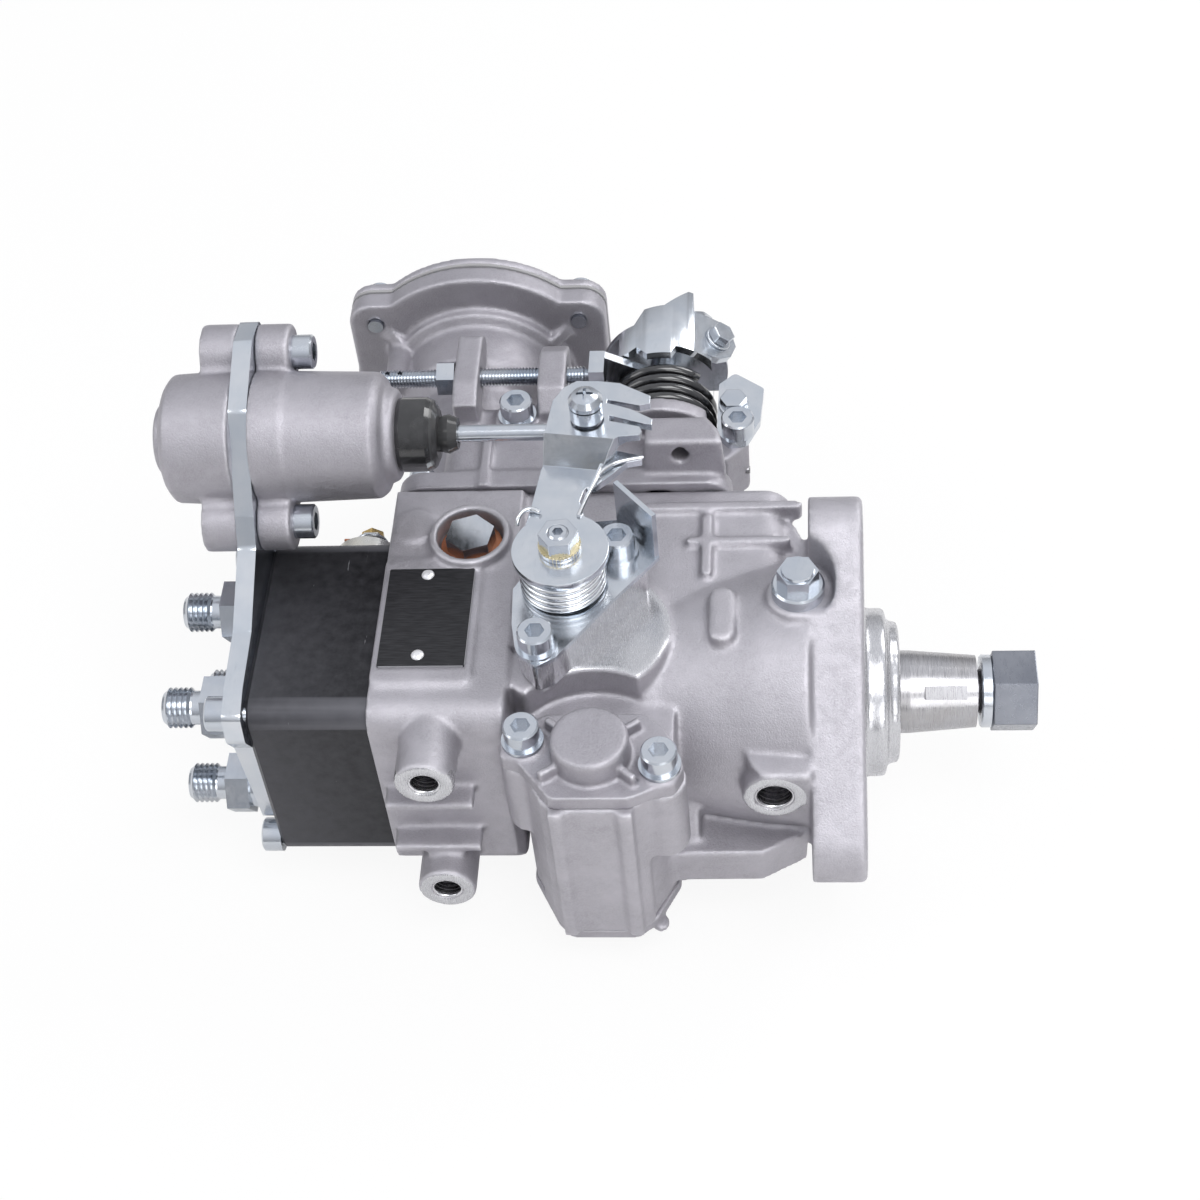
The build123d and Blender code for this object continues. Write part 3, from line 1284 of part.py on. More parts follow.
cage_length = 20.0
cage_radius = 15.4
carrier_phase = 180.0 + 180.0 / carrier_gear_teeth
carrier_gear = gear_blank(across(gear_back, governor_y), carrier_gear_teeth, gear_module,
                          governor_shaft_radius + running, gear_width, carrier_phase, 0.25)
with BuildPart() as governor_carrier:
    add(carrier_gear)
    add(ring((gear_back - 3, governor_y, 0), (1, 0, 0), cage_radius, governor_shaft_radius + running, 3.0))
    for index in range(4):
        post = radians(45 + 90 * index)
        with BuildSketch(Plane(origin=(gear_back - 3, governor_y + 12.8 * cos(post), 12.8 * sin(post)),
                               x_dir=(0, cos(post), sin(post)), z_dir=(1, 0, 0))):
            Rectangle(4.6, 5.0)
        extrude(amount=-cage_length)
governor_carrier.part.label = "governor_carrier"
export_step(governor_carrier.part, "parts/governor_carrier.step")

weight_back = gear_back - 3 - cage_length + 0.4
with BuildPart() as flyweights:
    for index in range(4):
        out = radians(90 * index)
        with BuildSketch(Plane(origin=(gear_back - 3, governor_y + 10.6 * cos(out), 10.6 * sin(out)),
                               x_dir=(0, cos(out), sin(out)), z_dir=(1, 0, 0))) as weight_section:
            Rectangle(8.4, 9.0)
            fillet(weight_section.vertices().group_by(Axis.X)[-1], 2.5)
        extrude(amount=weight_back - gear_back + 3)
flyweights.part.label = "flyweights"
export_step(flyweights.part, "parts/flyweights.step")

lever_plate_half = 2.0
sleeve_tip = lever_pivot_x + lever_plate_half + easy + 0.15
sleeve_flange = weight_back - easy
with BuildPart() as governor_sleeve:
    add(turned(((0, 0), (0, 2.6), (1.8, 5.8), (sleeve_flange - 2 - sleeve_tip, 5.8),
                (sleeve_flange - 2 - sleeve_tip, 9.0),
                (sleeve_flange - sleeve_tip, 9.0), (sleeve_flange - sleeve_tip, governor_shaft_radius + running),
                (governor_shaft_end - 2 - sleeve_tip, governor_shaft_radius + running), (governor_shaft_end - 2 - sleeve_tip, 0)),
               (sleeve_tip, governor_y, 0), (1, 0, 0)))
governor_sleeve.part.label = "governor_sleeve"
export_step(governor_sleeve.part, "parts/governor_sleeve.step")

pivot_pin_radius = 2.5
spring_hook_y = 73.0
with BuildPart() as governor_lever:
    with BuildSketch(Plane(origin=(lever_pivot_x - lever_plate_half, 0, 0), x_dir=(0, 1, 0), z_dir=(1, 0, 0))):
        with BuildLine():
            Polyline((ball_y + 4, -2.5), (lever_pivot_y, -8), (governor_y, -8), (spring_hook_y - 6, -4), (spring_hook_y + 5, -4),
                     (spring_hook_y + 5, 4), (spring_hook_y - 6, 4), (governor_y, 8), (lever_pivot_y, 8), (ball_y + 4, 2.5),
                     close=True)
        make_face()
    extrude(amount=2 * lever_plate_half)
    add(ring((lever_pivot_x, lever_pivot_y, -14), (0, 0, 1), pivot_pin_radius + 2.6, 0.0, 28))
    add(ring((lever_pivot_x, ball_y, 0), (0, 1, 0), 1.7, 0.0, 6))
    with Locations((lever_pivot_x, ball_y, 0)):
        Sphere(ball_radius)
    add(ring((lever_pivot_x, lever_pivot_y, -15), (0, 0, 1), pivot_pin_radius + running, 0.0, 30), mode=Mode.SUBTRACT)
governor_lever.part.label = "governor_lever"
export_step(governor_lever.part, "parts/governor_lever.step")

governor_spring = coil((lever_pivot_x + lever_plate_half + 0.75, spring_hook_y, 0), (1, 0, 0), 3.8, 1.3, 4.8, 8)
governor_spring.label = "governor_spring"
export_step(governor_spring, "parts/governor_spring.step")

# ---------------------------------------------------------------- throttle group
throttle_arm_low = throttle_boss_top + 0.4
throttle_arm_plate = 99.9
throttle_arm_high = 102.9
throttle_wall_inner = throttle_spring_radius + throttle_wire + 0.5
throttle_wall_thick = 2.5
throttle_plate_low = 113.0
throttle_top = 121.5
with BuildPart() as throttle_shaft:
    add(turned(((0, 0), (0, throttle_radius), (throttle_top - 70, throttle_radius), (throttle_top - 70, 0)),
               (throttle_x, 70, throttle_z), (0, 1, 0)))
    add(hex_prism(Plane(origin=(throttle_x, throttle_plate_low + throttle_wall_thick, throttle_z), x_dir=(1, 0, 0.3),
                        z_dir=(0, 1, 0)), 13.0, 5.0))
    # inner arm that loads the governor spring
    with BuildSketch(level(70)):
        with Locations((throttle_x, throttle_z - 6)):
            Rectangle(8, 12)
        with Locations((throttle_x, throttle_z - 12)):
            Circle(4)
    extrude(amount=-3)
throttle_shaft.part.label = "throttle_shaft"
export_step(throttle_shaft.part, "parts/throttle_shaft.step")

ear_turn = radians(37)
wall_outer = throttle_wall_inner + throttle_wall_thick
ear_origin = (throttle_x + wall_outer * sin(ear_turn), 0, throttle_z + wall_outer * cos(ear_turn))
with BuildPart() as throttle_arm:
    # stop arm under the spring, with the block that meets the full-load stop screw
    with BuildSketch(level(throttle_arm_low)):
        with Locations((throttle_x, throttle_z)):
            Circle(8.6)
    extrude(amount=-(throttle_arm_high - throttle_arm_low))
    with BuildSketch(level(throttle_arm_plate)):
        with BuildLine():
            Polyline((stop_screw_tip + 4.4, stop_screw_z - 5), (stop_screw_tip + 4.4, stop_screw_z + 4),
                     (throttle_x + 3, throttle_z + 8), (throttle_x - 5, throttle_z - 7), close=True)
        make_face()
    extrude(amount=-(throttle_arm_high - throttle_arm_plate))
    with BuildSketch(level(throttle_arm_low)):
        with Locations((stop_screw_tip + easy + 2.4, stop_screw_z - 0.5)):
            Rectangle(4.8, 9.0)
    extrude(amount=-(throttle_arm_high - throttle_arm_low))
    with BuildSketch(level(throttle_arm_low)):
        with Locations((throttle_x, throttle_z)):
            Circle(throttle_radius)
    extrude(amount=-(throttle_arm_high - throttle_arm_low), mode=Mode.SUBTRACT)
with BuildPart() as throttle_shell:
    # top plate, curved wall round the spring and horn, trimmed to the outline seen from +Z
    with BuildSketch(level(throttle_plate_low)):
        with Locations((throttle_x, throttle_z)):
            Circle(wall_outer)
    extrude(amount=-throttle_wall_thick)
    with BuildSketch(level(99.6)):
        with Locations((throttle_x, throttle_z)):
            Circle(wall_outer)
            Circle(throttle_wall_inner, mode=Mode.SUBTRACT)
    extrude(amount=-31)
    with BuildSketch(side(throttle_z - 30)):
        with BuildLine():
            Polyline((-74.5, 103.5), (-74.5, 113.5), (-70.5, 114), (-66.5, 121.5), (-60, 122.5), (-52.5, 130.4),
                     (-51, 130.4), (-50.6, 122), (-47.6, 124), (-45, 124), (-45, 103.5), (-56, 103.5),
                     (-57.5, 100.2), (-65, 100.2), (-68.5, 104.5), (-71, 103.5), close=True)
        make_face()
        with Locations((throttle_x, throttle_plate_low + throttle_wall_thick / 2)):
            Rectangle(2 * wall_outer, throttle_wall_thick)
    extrude(amount=80, mode=Mode.INTERSECT)
    with BuildSketch(level(90)):
        with Locations((throttle_x, throttle_z - 24)):
            Rectangle(80, 30)
    extrude(amount=-60, mode=Mode.SUBTRACT)
    # ear tangent to the wall, with the hole of its screw
    with BuildSketch(Plane(origin=ear_origin, x_dir=(cos(ear_turn), 0, -sin(ear_turn)),
                           z_dir=(sin(ear_turn), 0, cos(ear_turn)))):
        with BuildLine():
            Polyline((-2.4, 103.0), (2.5, 104.8), (7.5, 105.8), (11.6, 109.2), (13.6, 115.4), (11.6, 121.0),
                     (7.5, 123.0), (2.0, 122.6), (-2.4, 121.5), close=True)
        make_face()
        with Locations((6.2, 114)):
            Circle(2.6, mode=Mode.SUBTRACT)
    extrude(amount=-throttle_wall_thick)
    with BuildSketch(level(throttle_plate_low)):
        with Locations((throttle_x, throttle_z)):
            Circle(throttle_radius)
    extrude(amount=-8, mode=Mode.SUBTRACT)
throttle_lever = Compound(label="throttle_lever",
                          children=[*throttle_arm.part.solids(), *throttle_shell.part.solids()])
export_step(throttle_lever, "parts/throttle_lever.step")

throttle_spring_gap = 0.35
throttle_spring_low = throttle_cup_floor + throttle_wire + throttle_spring_gap
throttle_spring_high = throttle_arm_plate - throttle_wire - throttle_spring_gap
throttle_spring = coil((throttle_x, throttle_spring_low, throttle_z), (0, 1, 0), throttle_spring_radius,
                       2 * throttle_wire, (throttle_spring_high - throttle_spring_low) / throttle_turns, throttle_turns)
throttle_spring.label = "throttle_spring"
export_step(throttle_spring, "parts/throttle_spring.step")

stop_bracket_thick = 2.5
with BuildPart() as stop_bracket:
    with BuildSketch(side(bracket_plate_z)) as stop_bracket_outline:
        with BuildLine():
            Polyline((-42.9, 84), (-42.6, 98.0), (-37.6, 103.0), (-28.4, 95.8), (-29.6, 81.3), (-33.6, 72.5),
                     (-39.2, 71.5), (-42.9, 76), close=True)
        make_face()
        fillet(stop_bracket_outline.vertices(), 1.5)
        with Locations(bracket_screw):
            Circle(3.1, mode=Mode.SUBTRACT)
    extrude(amount=stop_bracket_thick)
    # turned-down lip along the outer edge
    with BuildSketch(Plane(origin=(-37.6, 103.0, bracket_plate_z), x_dir=(9.2, -7.2, 0), z_dir=(-7.2, -9.2, 0))):
        with Locations((5.8, 0)):
            Rectangle(8.6, 5.0)
    extrude(amount=2.2)
stop_bracket.part.label = "stop_bracket"
export_step(stop_bracket.part, "parts/stop_bracket.step")

speed_screw_start = (stop_screw_start, stop_screw_y, stop_screw_z)
with BuildPart() as speed_screw:
    add(turned(thread_profile(0, stop_screw_tip - stop_screw_start - 1.0, stop_screw_radius, 1.0)[:-1]
               + [(stop_screw_tip - stop_screw_start, 1.9), (stop_screw_tip - stop_screw_start, 0)],
               speed_screw_start, (1, 0, 0)))
    with BuildSketch(side(stop_screw_z)):
        with Locations((stop_screw_start + 2.6, stop_screw_y), (stop_screw_start + 6.6, stop_screw_y)):
            Circle(0.75)
    extrude(amount=8, both=True, mode=Mode.SUBTRACT)
lock_nut_start = -131.3
lock_nut = hex_prism(Plane(origin=(lock_nut_start, stop_screw_y, stop_screw_z), x_dir=(0, 1, 0.4), z_dir=(1, 0, 0)),
                     10.0, 5.6, stop_screw_radius)
speed_screw_group = Compound(label="speed_screw", children=[*speed_screw.part.solids(), *lock_nut.solids()])
export_step(speed_screw_group, "parts/speed_screw.step")

# ---------------------------------------------------------------- boost device


def boost_sheet(y, thick, hole=0.0):
    """Plate of the boost outline: a disc and four screw lobes, lying on height y."""
    with BuildPart() as sheet:
        with BuildSketch(level(y)) as outline:
            with Locations((boost_x, boost_z)):
                Rectangle(2 * (boost_bolt_x + boost_lobe_radius), 2 * (boost_bolt_z + boost_lobe_radius) - 1.6)
            fillet(outline.vertices(), boost_lobe_radius - 1)
            with Locations((boost_x, boost_z)):
                Circle(boost_flange_radius)
            for x in (-boost_bolt_x, boost_bolt_x):
                for z in (-boost_bolt_z, boost_bolt_z):
                    with Locations((boost_x + x, boost_z + z)):
                        Circle(2.55, mode=Mode.SUBTRACT)
            if hole > 0:
                with Locations((boost_x, boost_z)):
                    Circle(hole, mode=Mode.SUBTRACT)
        extrude(amount=-thick)
    return sheet.part


boost_bowl_radius = 28.0
stem_low = 78.0
with BuildPart() as boost_housing:
    add(boost_sheet(boost_flange_y, boost_flange_thick, boost_bowl_radius))
    base = boost_flange_y - boost_seat_y
    add(turned(((0, stem_radius + running), (0, 19), (1.5, 19), (base - 24, 21), (base - 18, 26), (base - 5, 27.5),
                (base - 3, 31), (base + 1, 31.5), (base + 1, boost_bowl_radius), (base - 1, boost_bowl_radius),
                (base - 3, 23.5), (base - 18, 22), (base - 20, 20), (base - 20, stem_radius + running)),
               (boost_x, boost_seat_y, boost_z), (0, 1, 0)))
    with BuildSketch(level(boost_flange_y - 18)):
        with Locations((boost_x - 26, boost_z + 14)):
            Circle(4.2)
    extrude(amount=-18.5, taper=-2)
    for turn in (35, 145, 215, 325):
        with BuildSketch(Plane(origin=(boost_x, boost_flange_y + 1, boost_z), x_dir=(cos(radians(turn)), 0, sin(radians(turn))),
                               z_dir=(-sin(radians(turn)), 0, cos(radians(turn))))):
            with BuildLine():
                Polyline((30, 0), (37, 0), (37, -2), (30, -5), close=True)
            make_face()
        extrude(amount=2, both=True)
boost_housing.part.label = "boost_housing"
export_step(boost_housing.part, "parts/boost_housing.step")

diaphragm_y = boost_flange_y + boost_flange_thick
cover_plate_y = diaphragm_y + diaphragm_thick
with BuildPart() as diaphragm:
    add(boost_sheet(diaphragm_y, diaphragm_thick, 26.0))
diaphragm.part.label = "diaphragm"
export_step(diaphragm.part, "parts/diaphragm.step")

dome_height = 10.0
with BuildPart() as boost_cover:
    add(boost_sheet(cover_plate_y, boost_cover_thick, boost_bowl_radius - 2.5))
    add(turned(((0, 25.4), (0, 29.5), (boost_cover_thick, 29.0), (boost_cover_thick + 1.5, 27.5),
                (boost_cover_thick + dome_height - 3, 24.5), (boost_cover_thick + dome_height, 20.0),
                (boost_cover_thick + dome_height, 7.0), (boost_cover_thick + dome_height + 2.5, 7.0),
                (boost_cover_thick + dome_height + 2.5, 0), (boost_cover_thick + dome_height - 3.0, 0),
                (boost_cover_thick + dome_height - 3.0, 18.5), (boost_cover_thick + dome_height - 5.5, 22.0)),
               (boost_x, cover_plate_y, boost_z), (0, 1, 0)))
boost_cover.part.label = "boost_cover"
export_step(boost_cover.part, "parts/boost_cover.step")

with BuildPart() as boost_stem:
    add(turned(((stem_low, 0), (stem_low, 2.0), (stem_low + 3, stem_radius), (diaphragm_y - 2.0, stem_radius),
                (diaphragm_y - 2.0, 20.0), (diaphragm_y - 0.8, 20.0), (diaphragm_y - 0.8, 25.5),
                (diaphragm_y + 0.4, 25.5), (diaphragm_y + 0.4, 20.0), (diaphragm_y + 2.2, 20.0), (diaphragm_y + 2.2, 4.5),
                (diaphragm_y + 5.2, 4.5), (diaphragm_y + 5.2, 0)), (boost_x, 0, boost_z), (0, 1, 0)))
boost_stem.part.label = "boost_stem"
export_step(boost_stem.part, "parts/boost_stem.step")

# ---------------------------------------------------------------- fasteners and small pieces
flat_washer = 1.2
boost_top = cover_plate_y + boost_cover_thick
m6_screws = []
for y in (-head_screw_pitch, head_screw_pitch):
    m6_screws.append(cap_screw(Plane(origin=(head_face, y, -head_screw_pitch), x_dir=(0, 1, 0), z_dir=(-1, 0, 0)),
                               6.0, head_length + 8))
    m6_screws.append(cap_screw(Plane(origin=(bracket_face, y, head_screw_pitch), x_dir=(0, 1, 0), z_dir=(-1, 0, 0)),
                               6.0, bracket_thick + head_length + 8))
for y, z in actuator_ears:
    m6_screws.append(cap_screw(Plane(origin=(head_face + 10, y, z), x_dir=(0, 1, 0), z_dir=(1, 0, 0)),
                               6.0, 10 + bracket_thick + 7))
for x, y in timing_screws:
    m6_screws.append(cap_screw(side(timing_top + timing_plate_thick + 0.8, x, y), 6.0, 20, flat_washer))
for x, y in lever_screws:
    m6_screws.append(cap_screw(side(plate_top, x, y), 6.0, plate_top + flat_washer - boss_top + 3, flat_washer))
m6_screws.append(cap_screw(side(cover_half_high + 0.6, *top_screw), 6.0, 8, flat_washer))
m6_screws.append(cap_screw(side(bracket_plate_z + stop_bracket_thick, *bracket_screw), 6.0, 12))
cap_screws_m6 = Compound(label="cap_screws_m6", children=m6_screws)
export_step(cap_screws_m6, "parts/cap_screws_m6.step")

m5_screws = []
for x in (-boost_bolt_x, boost_bolt_x):
    for z in (-boost_bolt_z, boost_bolt_z):
        m5_screws.append(cap_screw(Plane(origin=(boost_x + x, boost_top, boost_z + z), x_dir=(1, 0, 0), z_dir=(0, 1, 0)),
                                   5.0, boost_top - boost_flange_y + 0.8))
for x, z in cover_screw_spots:
    m5_screws.append(cap_screw(Plane(origin=(x, deck + cover_flange_thick, z), x_dir=(1, 0, 0), z_dir=(0, 1, 0)),
                               5.0, cover_flange_thick + 9))
cap_screws_m5 = Compound(label="cap_screws_m5", children=m5_screws)
export_step(cap_screws_m5, "parts/cap_screws_m5.step")

plug_washer_thick = 1.5
plug_faces = ((cup_floor, 1), (-block_half, -1))
plug_washers = Compound(label="plug_washers", children=[
    ring((cup_x, cup_y, z), (0, 0, way), 9.2, 6.1, plug_washer_thick) for z, way in plug_faces])
export_step(plug_washers, "parts/plug_washers.step")

plugs = []
for z, way in plug_faces:
    seat_z = z + way * plug_washer_thick
    with BuildPart() as plug:
        add(hex_prism(Plane(origin=(cup_x, cup_y, seat_z), x_dir=(1, 0.35, 0), z_dir=(0, 0, way)), 13.0, 5.5))
        add(turned(((0, 0), (0, 5.95), (abs(seat_z) - 29.2, 5.95), (abs(seat_z) - 29.2, pivot_pin_radius),
                    (abs(seat_z) - 8, pivot_pin_radius), (abs(seat_z) - 8, 0)), (cup_x, cup_y, seat_z), (0, 0, -way)))
    plugs.append(plug.part)
pivot_plugs = Compound(label="pivot_plugs", children=plugs)
export_step(pivot_plugs, "parts/pivot_plugs.step")

with BuildPart() as inlet_bolt:
    add(turned(((-14, 0), (-14, inlet_hole_radius - 0.05), (0, inlet_hole_radius - 0.05), (0, 7.6), (3.4, 7.6), (4.0, 7.0),
                (4.0, 5.2), (9.0, 4.9), (10.2, 4.6), (10.2, 0)), (inlet_x, inlet_y, inlet_face), (0, 0, 1)))
    add(hex_prism(side(inlet_face + 4.0, inlet_x, inlet_y), 10.4, 5.2))
inlet_bolt.part.label = "inlet_bolt"
export_step(inlet_bolt.part, "parts/inlet_bolt.step")

with BuildPart() as plate_sheet:
    with BuildSketch(side(pad_top, *pad_centre)) as plate_plan:
        Rectangle(*plate_size)
        fillet(plate_plan.vertices(), 1.2)
    extrude(amount=plate_thick)
rivets = [turned(((0, 0), (0, rivet_radius), (0.5, 1.7), (0.9, 0.9), (1.0, 0)), (x, y, pad_top + plate_thick), (0, 0, 1))
          for x, y in rivet_spots]
name_plate = Compound(label="name_plate", children=[plate_sheet.part, *rivets])
export_step(name_plate, "parts/name_plate.step")
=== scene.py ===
import json
from math import cos, pi, sin

import bmesh
import bpy
from mathutils import Matrix, Vector


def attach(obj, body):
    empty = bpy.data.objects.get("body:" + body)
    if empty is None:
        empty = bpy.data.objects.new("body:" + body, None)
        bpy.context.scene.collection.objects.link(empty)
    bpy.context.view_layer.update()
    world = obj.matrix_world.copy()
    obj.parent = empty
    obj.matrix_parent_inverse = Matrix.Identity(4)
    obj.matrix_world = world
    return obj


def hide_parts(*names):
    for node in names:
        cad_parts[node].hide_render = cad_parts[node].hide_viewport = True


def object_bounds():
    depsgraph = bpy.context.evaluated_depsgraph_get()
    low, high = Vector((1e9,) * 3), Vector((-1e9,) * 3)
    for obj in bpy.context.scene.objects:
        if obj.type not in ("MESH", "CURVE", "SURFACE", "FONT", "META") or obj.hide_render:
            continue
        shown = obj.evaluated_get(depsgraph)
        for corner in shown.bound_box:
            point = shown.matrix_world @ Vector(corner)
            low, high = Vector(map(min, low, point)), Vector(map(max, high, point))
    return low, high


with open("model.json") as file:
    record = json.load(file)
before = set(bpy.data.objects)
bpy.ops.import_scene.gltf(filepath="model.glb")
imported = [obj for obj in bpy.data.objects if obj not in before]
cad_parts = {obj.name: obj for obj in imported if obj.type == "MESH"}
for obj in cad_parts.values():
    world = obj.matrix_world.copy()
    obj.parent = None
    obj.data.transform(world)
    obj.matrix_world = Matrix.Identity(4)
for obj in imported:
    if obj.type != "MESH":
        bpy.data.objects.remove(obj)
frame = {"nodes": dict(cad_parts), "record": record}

# Distributor injection pump. X runs along the drive shaft, Y to the boost housing, Z to the
# cold-start lever. Lengths are written in millimetres and turned into metres by MM.
MM = 0.001
cad_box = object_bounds()
nodes = frame["nodes"]


# ---------------------------------------------------------------- materials
class Paint:
    """One procedural material, built up node by node in the piece's own coordinates."""

    def __init__(self, name, metallic, roughness, **settings):
        self.material = bpy.data.materials.new(name)
        self.material.use_nodes = True
        self.tree = self.material.node_tree
        self.shader = self.tree.nodes["Principled BSDF"]
        self.shader.inputs["Metallic"].default_value = metallic
        self.shader.inputs["Roughness"].default_value = roughness
        for socket, value in settings.items():
            self.shader.inputs[socket.replace("_", " ")].default_value = value
        self.place = self.node("ShaderNodeTexCoord").outputs["Object"]

    def node(self, kind):
        return self.tree.nodes.new(kind)

    def wire(self, value, socket):
        """Links an output to a socket, or sets a plain number or colour on it."""
        if isinstance(value, bpy.types.NodeSocket):
            self.tree.links.new(value, socket)
        elif isinstance(value, (tuple, list)) and len(value) == 3 and len(socket.default_value) == 4:
            socket.default_value = (*value, 1.0)
        else:
            socket.default_value = value

    def stretched(self, scale, turn=(0.0, 0.0, 0.0)):
        mapping = self.node("ShaderNodeMapping")
        mapping.inputs["Scale"].default_value = scale
        mapping.inputs["Rotation"].default_value = turn
        self.wire(self.place, mapping.inputs["Vector"])
        return mapping.outputs["Vector"]

    def noise(self, scale, detail=2.0, roughness=0.5, place=None):
        """Noise whose scale is in features per metre."""
        noise = self.node("ShaderNodeTexNoise")
        self.wire(place or self.place, noise.inputs["Vector"])
        noise.inputs["Scale"].default_value = scale
        noise.inputs["Detail"].default_value = detail
        noise.inputs["Roughness"].default_value = roughness
        return noise.outputs["Fac"]

    def range(self, value, low, high, out_low=0.0, out_high=1.0):
        spread = self.node("ShaderNodeMapRange")
        spread.clamp = True
        for socket, number in zip(("Value", "From Min", "From Max", "To Min", "To Max"),
                                  (value, low, high, out_low, out_high)):
            self.wire(number, spread.inputs[socket])
        return spread.outputs["Result"]

    def sum(self, operation, first, second=0.0):
        node = self.node("ShaderNodeMath")
        node.operation = operation
        self.wire(first, node.inputs[0])
        self.wire(second, node.inputs[1])
        return node.outputs["Value"]

    def blend(self, share, first, second):
        """Colour mixed from first (share 0) to second (share 1)."""
        mix = self.node("ShaderNodeMix")
        mix.data_type = "RGBA"
        self.wire(share, mix.inputs[0])
        self.wire(first, mix.inputs[6])
        self.wire(second, mix.inputs[7])
        return mix.outputs[2]

    def bump(self, height, depth, strength=1.0, under=None):
        """Bump of a depth in metres, on top of another bump if one is given."""
        bump = self.node("ShaderNodeBump")
        bump.inputs["Strength"].default_value = strength
        bump.inputs["Distance"].default_value = depth
        self.wire(height, bump.inputs["Height"])
        if under is not None:
            self.wire(under, bump.inputs["Normal"])
        return bump.outputs["Normal"]

    def axes(self):
        split = self.node("ShaderNodeSeparateXYZ")
        self.wire(self.place, split.inputs["Vector"])
        return split.outputs["X"], split.outputs["Y"], split.outputs["Z"]

    def edges(self, low=0.515, high=0.58):
        """0 on flats and in hollows, 1 on outer edges."""
        geometry = self.node("ShaderNodeNewGeometry")
        return self.range(geometry.outputs["Pointiness"], low, high)

    # Mask for painted shade: 1 in hollows and inside corners, 0 on flats and outer edges.
    def hollows(self, low=0.42, high=0.49):
        geometry = self.node("ShaderNodeNewGeometry")
        return self.range(geometry.outputs["Pointiness"], low, high, 1.0, 0.0)

    def near(self, centre, radius, which=(0, 1, 2)):
        """1 within a radius of a point (mm), measured on the named axes only."""
        total = None
        for axis, value in enumerate(self.axes()):
            if axis in which:
                square = self.sum("POWER", self.sum("SUBTRACT", value, centre[axis] * MM), 2.0)
                total = square if total is None else self.sum("ADD", total, square)
        return self.sum("LESS_THAN", total, (radius * MM) ** 2)

    def finish(self, colour=None, roughness=None, normal=None):
        for value, socket in ((colour, "Base Color"), (roughness, "Roughness"), (normal, "Normal")):
            if value is not None:
                self.wire(value, self.shader.inputs[socket])
        return self.material


def cast_metal(name, tone=(0.40, 0.388, 0.418), machined=()):
    """Blasted cast aluminium; machined holds (axis, low, high, centre, radius, axes) places cut bright."""
    paint = Paint(name, 0.82, 0.5)
    grain = paint.noise(1700.0, 3.0, 0.6)
    pits = paint.range(paint.noise(2600.0, 1.0), 0.30, 0.42)
    cloud = paint.range(paint.noise(75.0, 4.0, 0.6), 0.32, 0.68)
    light = tuple(min(1.0, c * 1.13) for c in tone)
    dark = tuple(c * 0.90 for c in tone)
    body = paint.blend(cloud, dark, light)
    body = paint.blend(paint.range(grain, 0.36, 0.60, 0.0, 0.6), body, light)
    # painted shade: the tone darkens in hollows and inside corners, where shade falls
    body = paint.blend(paint.sum("MULTIPLY", paint.hollows(), 0.45), body, tuple(c * 0.55 for c in tone))
    # lighter outer edges: partly worn metal, partly a painted highlight
    body = paint.blend(paint.sum("MULTIPLY", paint.edges(), 0.65), body, (0.62, 0.61, 0.64))
    rough = paint.range(paint.noise(420.0, 3.0), 0.3, 0.7, 0.46, 0.60)
    relief = paint.bump(grain, 0.00016, 0.8)
    relief = paint.bump(pits, 0.00005, 0.5, relief)
    relief = paint.bump(paint.noise(150.0, 2.0), 0.0003, 0.35, relief)
    if machined:
        x, y, z = paint.axes()
        mask = None
        for axis, low, high, centre, radius, which in machined:
            value = (x, y, z)[axis]
            inside = paint.sum("MULTIPLY", paint.sum("GREATER_THAN", value, low * MM),
                               paint.sum("LESS_THAN", value, high * MM))
            if centre is not None:
                inside = paint.sum("MULTIPLY", inside, paint.near(centre, radius, which))
            mask = inside if mask is None else paint.sum("MAXIMUM", mask, inside)
        swirl = paint.noise(5200.0, 2.0, 0.6, paint.stretched((1.0, 0.1, 0.1)))
        cut = paint.blend(paint.range(swirl, 0.3, 0.7), (0.48, 0.48, 0.50), (0.57, 0.57, 0.59))
        body = paint.blend(mask, body, cut)
        rough = paint.blend(mask, rough, paint.range(swirl, 0.3, 0.7, 0.20, 0.32))
        fine = paint.bump(swirl, 0.00001, 0.3)
        choose = paint.node("ShaderNodeMix")
        choose.data_type = "VECTOR"
        for value, socket in ((mask, 0), (relief, 4), (fine, 5)):
            paint.wire(value, choose.inputs[socket])
        relief = choose.outputs[1]
    return paint.finish(body, rough, relief)


def plated(name, cool, warm, low=0.16, high=0.30, scratch=0.4):
    """Bright electro-plated steel with a faint drift of tint and fine handling marks."""
    paint = Paint(name, 1.0, low)
    drift = paint.range(paint.noise(110.0, 2.0), 0.3, 0.7)
    marks = paint.noise(900.0, 4.0, 0.65, paint.stretched((1.0, 0.35, 0.7)))
    colour = paint.blend(drift, cool, warm)
    colour = paint.blend(paint.range(marks, 0.60, 0.78, 0.0, 0.22), colour, tuple(c * 0.6 for c in cool))
    rough = paint.range(marks, 0.3, 0.7, low, high)
    return paint.finish(colour, rough, paint.bump(marks, 0.00002, scratch))


def turned_steel(name, tone, low, high, along=0):
    """Lathe-turned or ground steel, its marks running round the named axis."""
    paint = Paint(name, 1.0, low)
    scale = [0.05, 0.05, 0.05]
    scale[along] = 1.0
    lines = paint.noise(4200.0, 2.0, 0.6, paint.stretched(tuple(scale)))
    stain = paint.range(paint.noise(120.0, 4.0), 0.4, 0.75)
    colour = paint.blend(paint.range(lines, 0.3, 0.7), tuple(c * 0.85 for c in tone), tone)
    colour = paint.blend(paint.sum("MULTIPLY", stain, 0.25), colour, (0.30, 0.27, 0.24))
    return paint.finish(colour, paint.range(lines, 0.3, 0.7, low, high), paint.bump(lines, 0.00002, 0.5))


